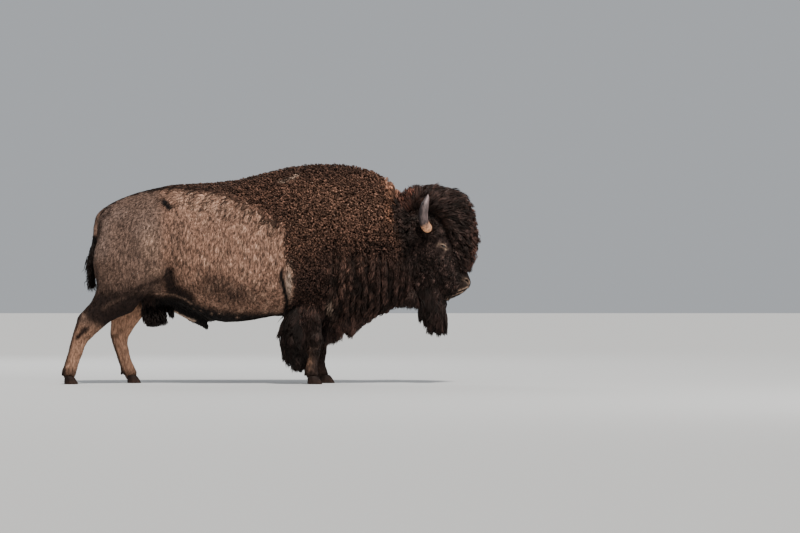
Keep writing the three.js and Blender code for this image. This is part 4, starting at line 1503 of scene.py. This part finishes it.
# ---------- the coat, from the cape to the muzzle
ringlets("coat_cape", wool_area * (1 - low) * (1 - near_head), 20700, 101, 46, 8.5, 12.4, 0.75, cape_flow,
         "wool", WOOL_LOCKS, 3, (0.36, 2.3))
fringe = ramp(-6, 4, inset_cape) * ramp(44, 20, inset_cape)
fringe = fringe + 0.3 * ramp(-150, -60, inset_cape) * ramp(0, -8, inset_cape)
fringe = fringe * body * ramp(1150, 1280, z) * ramp(90, 40, x) * ramp(-1150, -950, x)
tresses("coat_fringe", fringe, 1500, 119, rear_flow, 84, 8, "wool", WOOL_LOCKS, height=0.8, waves=0.7,
        turn=0.22, size=6, pull=0.75, shade=(0.45, 1.9), most=18, least=7, root_shade=0.8)
tresses("coat_shoulder", wool_area * low * (1 - jaw_edge), 12000, 102, always(-0.22, -1.0), 92, 11, "wool",
        WOOL_LOCKS, wave=0.1, waves=0.7, size=11, pull=0.5, grooves=True, shade=(0.42, 3.1))
temple = face * ramp(-10, 20, z - (1236 - 0.62 * (x - 1170))) * (x > 1150)
temple = temple * ramp(80, 105, eye_distance(skin_points))
crown = SHARE["crown"] + wool_area * near_head * ramp(1150, 1250, z) + temple
tresses("coat_crown", crown, 11000, 103, crown_flow, crown_length, 10, height=1.2, wave=0.05, waves=1.0,
        size=17, pull=0.7, turn=0.26, segments=4, shade=(0.3, 4.0), flyaway=0.22, full=True, least=15,
        most=112, bend=1 / 800)
tresses("coat_horn_base", bell((from_horn - 51) / 13) * (np.abs(y) > 80), 560, 118, round_horn, 56, 9,
        height=1.0, wave=0.05, waves=0.7, turn=0.5, size=6, pull=0.4, shade=(0.45, 2.4), full=True, least=52,
        most=52, one_colour=BLACK_BROWN)
rough_face = face + wool_area * np.maximum(jaw_edge, near_head * (1 - low)) * ramp(1250, 1150, z)
rough_face = rough_face + SHARE["beard"] * ramp(790, 850, z)
muzzle = ramp(1425, 1455, up_nose(x, z)) * (z < 1010)
lips = bell(by_mouth / 17) * (x > 1340)
open_face = np.clip(1 - 2.2 * bell(eye_a / 56, eye_v / 31) * (eye_o > -50) * (x > 1200), 0, 1)
cheeks = rough_face * (1 - np.maximum(muzzle, lips)) * open_face * (1 - temple)
tresses("coat_cheeks", cheeks, 9500, 104, cheek_flow, cheek_length, 8.5, height=0.95, wave=0.10, waves=0.7,
        turn=0.4, size=9, pull=0.5, shade=(0.36, 3.6), full=True, least=9, most=42)
round_eye = (open_face < 0.6) * (np.hypot(eye_a / 1.5, eye_v) > 17) * (eye_o > -50) * (x > 1200)
flat_tufts("coat_eyes", face * round_eye, 1500, 115, always(-0.8, -0.5), 11, 2.6, 0.2)
flat_tufts("coat_ears", SHARE["ear"], 900, 105, lambda p: lie(p, -0.5, -0.2, np.sign(p[:, 1])), 42, 9, 0.3,
           material=LONG_LOCKS, segments=2)
tresses("coat_beard", SHARE["beard"] * ramp(870, 800, z), 2900, 106, always(0.0, -1.0), down_to(392, 60, 185),
        11, segments=5, size=20, pull=0.7, wave=0.045, waves=1.1, height=1.0, full=True, shade=(0.36, 3.0),
        one_colour=HAIR_BLACK * 0.85, lean=beard_lean)
tresses("coat_brisket", SHARE["brisket"] * (z < 780), 3400, 107, always(-0.15, -1.0), hem_length, 11,
        segments=4, size=15, pull=0.6, wave=0.08, full=True, shade=(0.5, 3.6))
for hand, label in ((-1, "right"), (1, "left")):
    tresses(f"coat_chaps_{label}", SHARE["chaps"] * (y * hand > 0), 2500, 108 + hand, chaps_flow,
            down_to(96, 60, 175), 11, segments=4, size=18, pull=0.7, wave=0.05, waves=1.1, height=1.0,
            full=True, shade=(0.4, 3.2), one_colour=HAIR_BLACK * 0.6, lean=chaps_lean)
forearm = legs * body * (x > 60) * ramp(215, 330, z + 60 * ramp(270, 330, x))
tresses("coat_forearms", forearm, 3600, 116, always(-0.1, -1.0), forearm_length, 9, height=1.0, wave=0.1,
        waves=0.7, turn=0.3, size=10, pull=0.5, shade=(0.45, 2.2), most=34, least=8)
groin = body * (np.abs(y) < 95) * (z < 700) * (x > -1190) * (x < -590) * (1 - bell(by_sheath / 18))
tresses("coat_groin", groin, 1300, 117, always(0.1, -1.0), groin_length, 9, height=1.0, wave=0.08, waves=0.7,
        size=10, pull=0.6, shade=(0.4, 2.2), least=9, most=45)
sheath = body * (np.abs(y) < 75) * (z < 640) * (x > -1110) * (x < -885)
# The sheath's hair: black, darkened further with painted shade under the belly.
tresses("coat_sheath", sheath, 400, 120, always(0.1, -1.0), down_to(458, 28, 96), 9, wave=0.07, waves=0.8,
        size=12, pull=0.5, shade=(0.4, 2.0), least=72, most=72, full=True, one_colour=HAIR_BLACK * 0.6)
tresses("coat_tail", SHARE["tail"] * ramp(1170, 1100, z), 900, 111, always(0.0, -1.0), down_to(742, 40, 170),
        7, segments=4, size=7, pull=0.3, wave=0.1, flyaway=0.1, shade=(0.4, 2.2), most=26, one_colour=HAIR_BLACK)
rear = body * ramp(10, -8, inset_cape) * (1 - legs) * (1 - bare_patch) * (groin < 0.02) * (by_sheath > 30)
rear = rear + SHARE["tail"] * ramp(1100, 1170, z)
flat_tufts("coat_rear", rear, 30000, 112, rear_flow, 32, 7, 0.09, "short_coat", shade=(0.54, 1.5))
flat_tufts("coat_legs", legs * body, 9000, 113, always(-0.1, -1.0), 25, 6.4, 0.08, "shank_coat",
           shade=(0.74, 1.28))
flat_tufts("coat_muzzle", face * muzzle * (1 - lips) * (up_nose(x, z) < 1482), 1800, 114,
           always(-0.5, 0.8), 14, 4, 0.15)


# ---------- eyes, horns, hooves and eyelids
SIDES = ((-1, "right"), (1, "left"))
IRIS, SCLERA = linear(30, 16, 9), linear(40, 28, 22)
IRIS_RADIUS, PUPIL_LONG, PUPIL_HIGH = 13.5, 8.5, 5
angle = (np.arange(56) / 56 * 2 * math.pi)[:, None]
for hand, label in SIDES:
    mirror = [1, hand, 1]
    slit, up, out = SLIT * mirror, LID_UP * mirror, LID_OUT * mirror
    around = np.cos(angle) * slit + hand * -np.sin(angle) * up
    rings = [EYE * mirror + EYE_RADIUS * (math.cos(polar) * out + math.sin(polar) * around)
             for polar in np.linspace(0.02, math.pi - 0.02, 40)]
    verts, faces = close_rings(np.array(rings))
    mesh = turned_out(mesh_from(f"eyeball_{label}", to_row(verts), faces))
    q = verts - EYE * mirror
    a, v, o = q @ slit, q @ up, q @ out
    iris = (np.hypot(a, v) < IRIS_RADIUS) & (o > 0)
    pupil = ((a / PUPIL_LONG) ** 2 + (v / PUPIL_HIGH) ** 2 < 1) & (o > 0)
    colour = np.where(iris[:, None], IRIS, SCLERA)
    add_colours(mesh, np.where(pupil[:, None], NEAR_BLACK * 0.4, colour))
    finish_piece(f"eyeball_{label}", mesh, EYE_MAT, "eyeball", f"eye_{label}")

# Along the horn, from inside the head to its tip: x, y, z and radius.
HORN_PATH = [
    [1174, 96, 1264, 38], [1172, 150, 1262, 38], [1168, 205, 1264, 38.5], [1157, 262, 1280, 39],
    [1140, 308, 1320, 39], [1138, 330, 1376, 37.5], [1149, 328, 1434, 33.5], [1168, 317, 1491, 18.5],
    [1177, 308, 1532, 2.5],
]
HORN_BASE = linear(230, 168, 126)
HORN_GREY = linear(80, 67, 65)
HORN_DARK = linear(38, 32, 33)
HORN_TIP = linear(134, 114, 112)
AROUND_HORN = 36
for hand, label in SIDES:
    steps = through(HORN_PATH, 14)
    share = np.linspace(0, 1, len(steps))
    growth = 1 + 0.018 * np.sin(share * 95) * ramp(0.75, 0.1, share) * ramp(0.1, 0.2, share)
    radius = steps[:, 3] * growth
    stations = np.column_stack([steps[:, 0], hand * steps[:, 1], steps[:, 2], radius, radius, radius])
    verts, faces = path_form(stations, around=AROUND_HORN, per_span=1, across=(1, 0, 0))
    mesh = turned_out(mesh_from(f"horn_sheath_{label}", to_row(verts), faces))
    along = np.append(np.repeat(share, AROUND_HORN), [0, 1])
    streak = Waves(16, 31, stretch=(1, 1, 7))(verts) + 0.6 * Waves(60, 32)(verts)
    pale = ramp(0.50, 0.36, along + 0.05 * streak)[:, None]
    # Painted shade on the horn's rearward side, joined with its own dark streaks.
    turn = np.arange(AROUND_HORN) / AROUND_HORN * 2 * math.pi
    rearward = np.append(np.tile(np.sin(turn), len(steps)), [0, 0])
    rear_shade = ramp(0.15, 0.75, rearward + 0.2 * streak) * ramp(0.25, 0.4, along)
    dark = np.clip(0.9 * rear_shade + 0.7 * ramp(0.1, 0.9, streak), 0, 1)[:, None]
    light = ramp(0.72, 0.95, along + 0.04 * streak) * 0.8 + 0.6 * ramp(-0.2, -0.9, streak)
    light = np.clip(light, 0, 1)[:, None]
    colour = HORN_GREY * (1 - light) + HORN_TIP * light
    colour = colour * (1 - pale) + HORN_BASE * pale
    colour = colour * (1 - dark * (1 - pale)) + HORN_DARK * dark * (1 - pale)
    add_colours(mesh, colour)
    finish_piece(f"horn_sheath_{label}", mesh, HORN_MAT, "horn", f"horn_{label}")

HOOF, HOOF_PALE = linear(24, 15, 12), linear(66, 46, 37)
HOOF_RING, RING_HEIGHT, SOLE = 8.5, 0.5, 4
for node in [n for n in NODES if "_hoof_" in n]:
    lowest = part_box(node)[0].z
    mesh = voxel_union(node + "_horn", [node_form(node, 0.0)], HOOF_VOXEL)
    hoof_co = relaxed(coords(mesh), edges_of(mesh), 14)
    normal = unit(normals_of(mesh))
    rings = RING_HEIGHT * np.sin(hoof_co[:, 2] / MM * 2 * math.pi / HOOF_RING + hoof_co[:, 0] / MM * 0.1)
    hoof_co = hoof_co + normal * (rings * MM * (np.abs(normal[:, 2:3]).ravel() < 0.7))[:, None]
    hoof_co[to_work(hoof_co)[:, 2] < SOLE, 2] = lowest
    hoof_co[:, 2] = np.maximum(hoof_co[:, 2], lowest)
    set_coords(mesh, hoof_co)
    q = to_work(hoof_co)
    pale = ((0.5 + 0.5 * Waves(22, 41, stretch=(1, 1, 4))(q)) * ramp(60, 5, q[:, 2]))[:, None]
    add_colours(mesh, HOOF * (1 - 0.5 * pale) + HOOF_PALE * 0.5 * pale)
    finish_piece(node + "_horn", mesh, HOOF_MAT, "hoof", node)

# From the claw's root in the fetlock to its worn tip: offset from the middle of its node, and radius.
DEWCLAW = [[14, 0, 16, 11], [7, 0, 8, 12], [1, 0, -2, 11], [-3, 0, -12, 8], [-4, 0, -19, 4]]
for node in DEWCLAWS:
    middle = to_work(np.mean([list(corner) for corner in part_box(node)], axis=0))
    stations = [[*(middle + offset), radius, radius, 0.9 * radius] for *offset, radius in DEWCLAW]
    verts, faces = path_form(stations, around=18)
    mesh = mesh_from(node + "_horn", to_row(verts), faces)
    add_colours(mesh, np.tile(HOOF, (len(verts), 1)) * (1 + 0.3 * Waves(14, 42)(verts))[:, None])
    finish_piece(node + "_horn", mesh, HOOF_MAT, "hoof", node)

# The eyelids: two rolls on each eye, along the edges of the slit. Thickness of the upper and the lower one.
LIDS = ((0, 1, 7.5), (1, -1, 6.0))
LID_RADIUS = EYE_RADIUS + 1.2
angle = np.arange(14) / 14 * 2 * math.pi
for hand, label in SIDES:
    mirror = [1, hand, 1]
    forms = []
    for which, up, thick in LIDS:
        rings = []
        for at in np.linspace(-SLIT_HALF - 3, SLIT_HALF + 3, 23):
            ends = math.sqrt(max(1 - (at / (SLIT_HALF + 4)) ** 2, 0.03))
            high = thick * ends
            middle = lid_edges(at)[which] + up * high * 0.92
            out = math.sqrt(max(LID_RADIUS ** 2 - at ** 2 - middle ** 2, 16))
            centre, tangent = np.array([at, middle, out]), unit(np.array([0, out, -middle]))
            ring = (centre + tangent * (high * np.cos(angle))[:, None]
                    + unit(centre) * (3.4 * ends * np.sin(angle))[:, None])
            rings.append(EYE * mirror + ring[:, :1] * (SLIT * mirror) + ring[:, 1:2] * (LID_UP * mirror)
                         + ring[:, 2:] * (LID_OUT * mirror))
        forms.append(close_rings(np.array(rings)))
    verts, faces = joined(forms)
    mesh = turned_out(mesh_from(f"lids_{label}", to_row(verts), faces))
    add_colours(mesh, markings(verts))
    finish_piece(f"lids_{label}", mesh, BARE_SKIN, "short_coat")


# ---------- stage
corners = [(-60, -60, 0), (60, -60, 0), (60, 60, 0), (-60, 60, 0)]
floor = new_object("floor", mesh_from("floor", corners, [(0, 1, 2, 3)]))
floor_material = bpy.data.materials.new("floor")
floor_material.use_nodes = True
floor_shader = floor_material.node_tree.nodes["Principled BSDF"].inputs
floor_shader["Base Color"].default_value = (0.5, 0.5, 0.495, 1)
floor_shader["Roughness"].default_value = 0.95
floor.data.materials.append(floor_material)

world = bpy.data.worlds.new("studio")
bpy.context.scene.world = world
world.use_nodes = True
world.node_tree.nodes["Background"].inputs["Color"].default_value = (0.86, 0.9, 0.95, 1)
world.node_tree.nodes["Background"].inputs["Strength"].default_value = 0.5


def aimed(obj, direction):
    """Turns a light or camera, which look along their own -Z, in a direction."""
    obj.rotation_euler = Vector(direction).to_track_quat("-Z", "Y").to_euler()


def add_light(name, kind, energy, colour, **values):
    data = bpy.data.lights.new(name, kind)
    data.energy, data.color = energy, colour
    for key, value in values.items():
        setattr(data, key, value)
    return new_object(name, data)


aimed(add_light("key", "SUN", 4.5, (1.0, 0.965, 0.91), angle=math.radians(8)), (-0.22, 0.6, -1.0))
for name, place, colour in (("fill", (7.0, -5.0, 4.0), (1.0, 1.0, 1.0)),
                            ("back", (-3.0, 8.0, 6.0), (0.92, 0.96, 1.0))):
    light = add_light(name, "AREA", 260, colour, shape="DISK", size=5.0)
    light.location = place
    aimed(light, Vector((0, 0, 0.9)) - Vector(place))


# ---------- camera
AIM = to_row([951, 0, 951])
DISTANCE, FIELD, SENSOR, CAMERA_HEIGHT = 30.0, 6.5, 36, 0.857
camera_data = bpy.data.cameras.new("camera")
camera_data.sensor_width = SENSOR
camera_data.lens = SENSOR * DISTANCE / FIELD
camera_data.clip_end = 200
camera = new_object("camera", camera_data)
camera.location = (AIM[0], -DISTANCE, CAMERA_HEIGHT)
aimed(camera, Vector(AIM) - camera.location)
bpy.context.scene.camera = camera
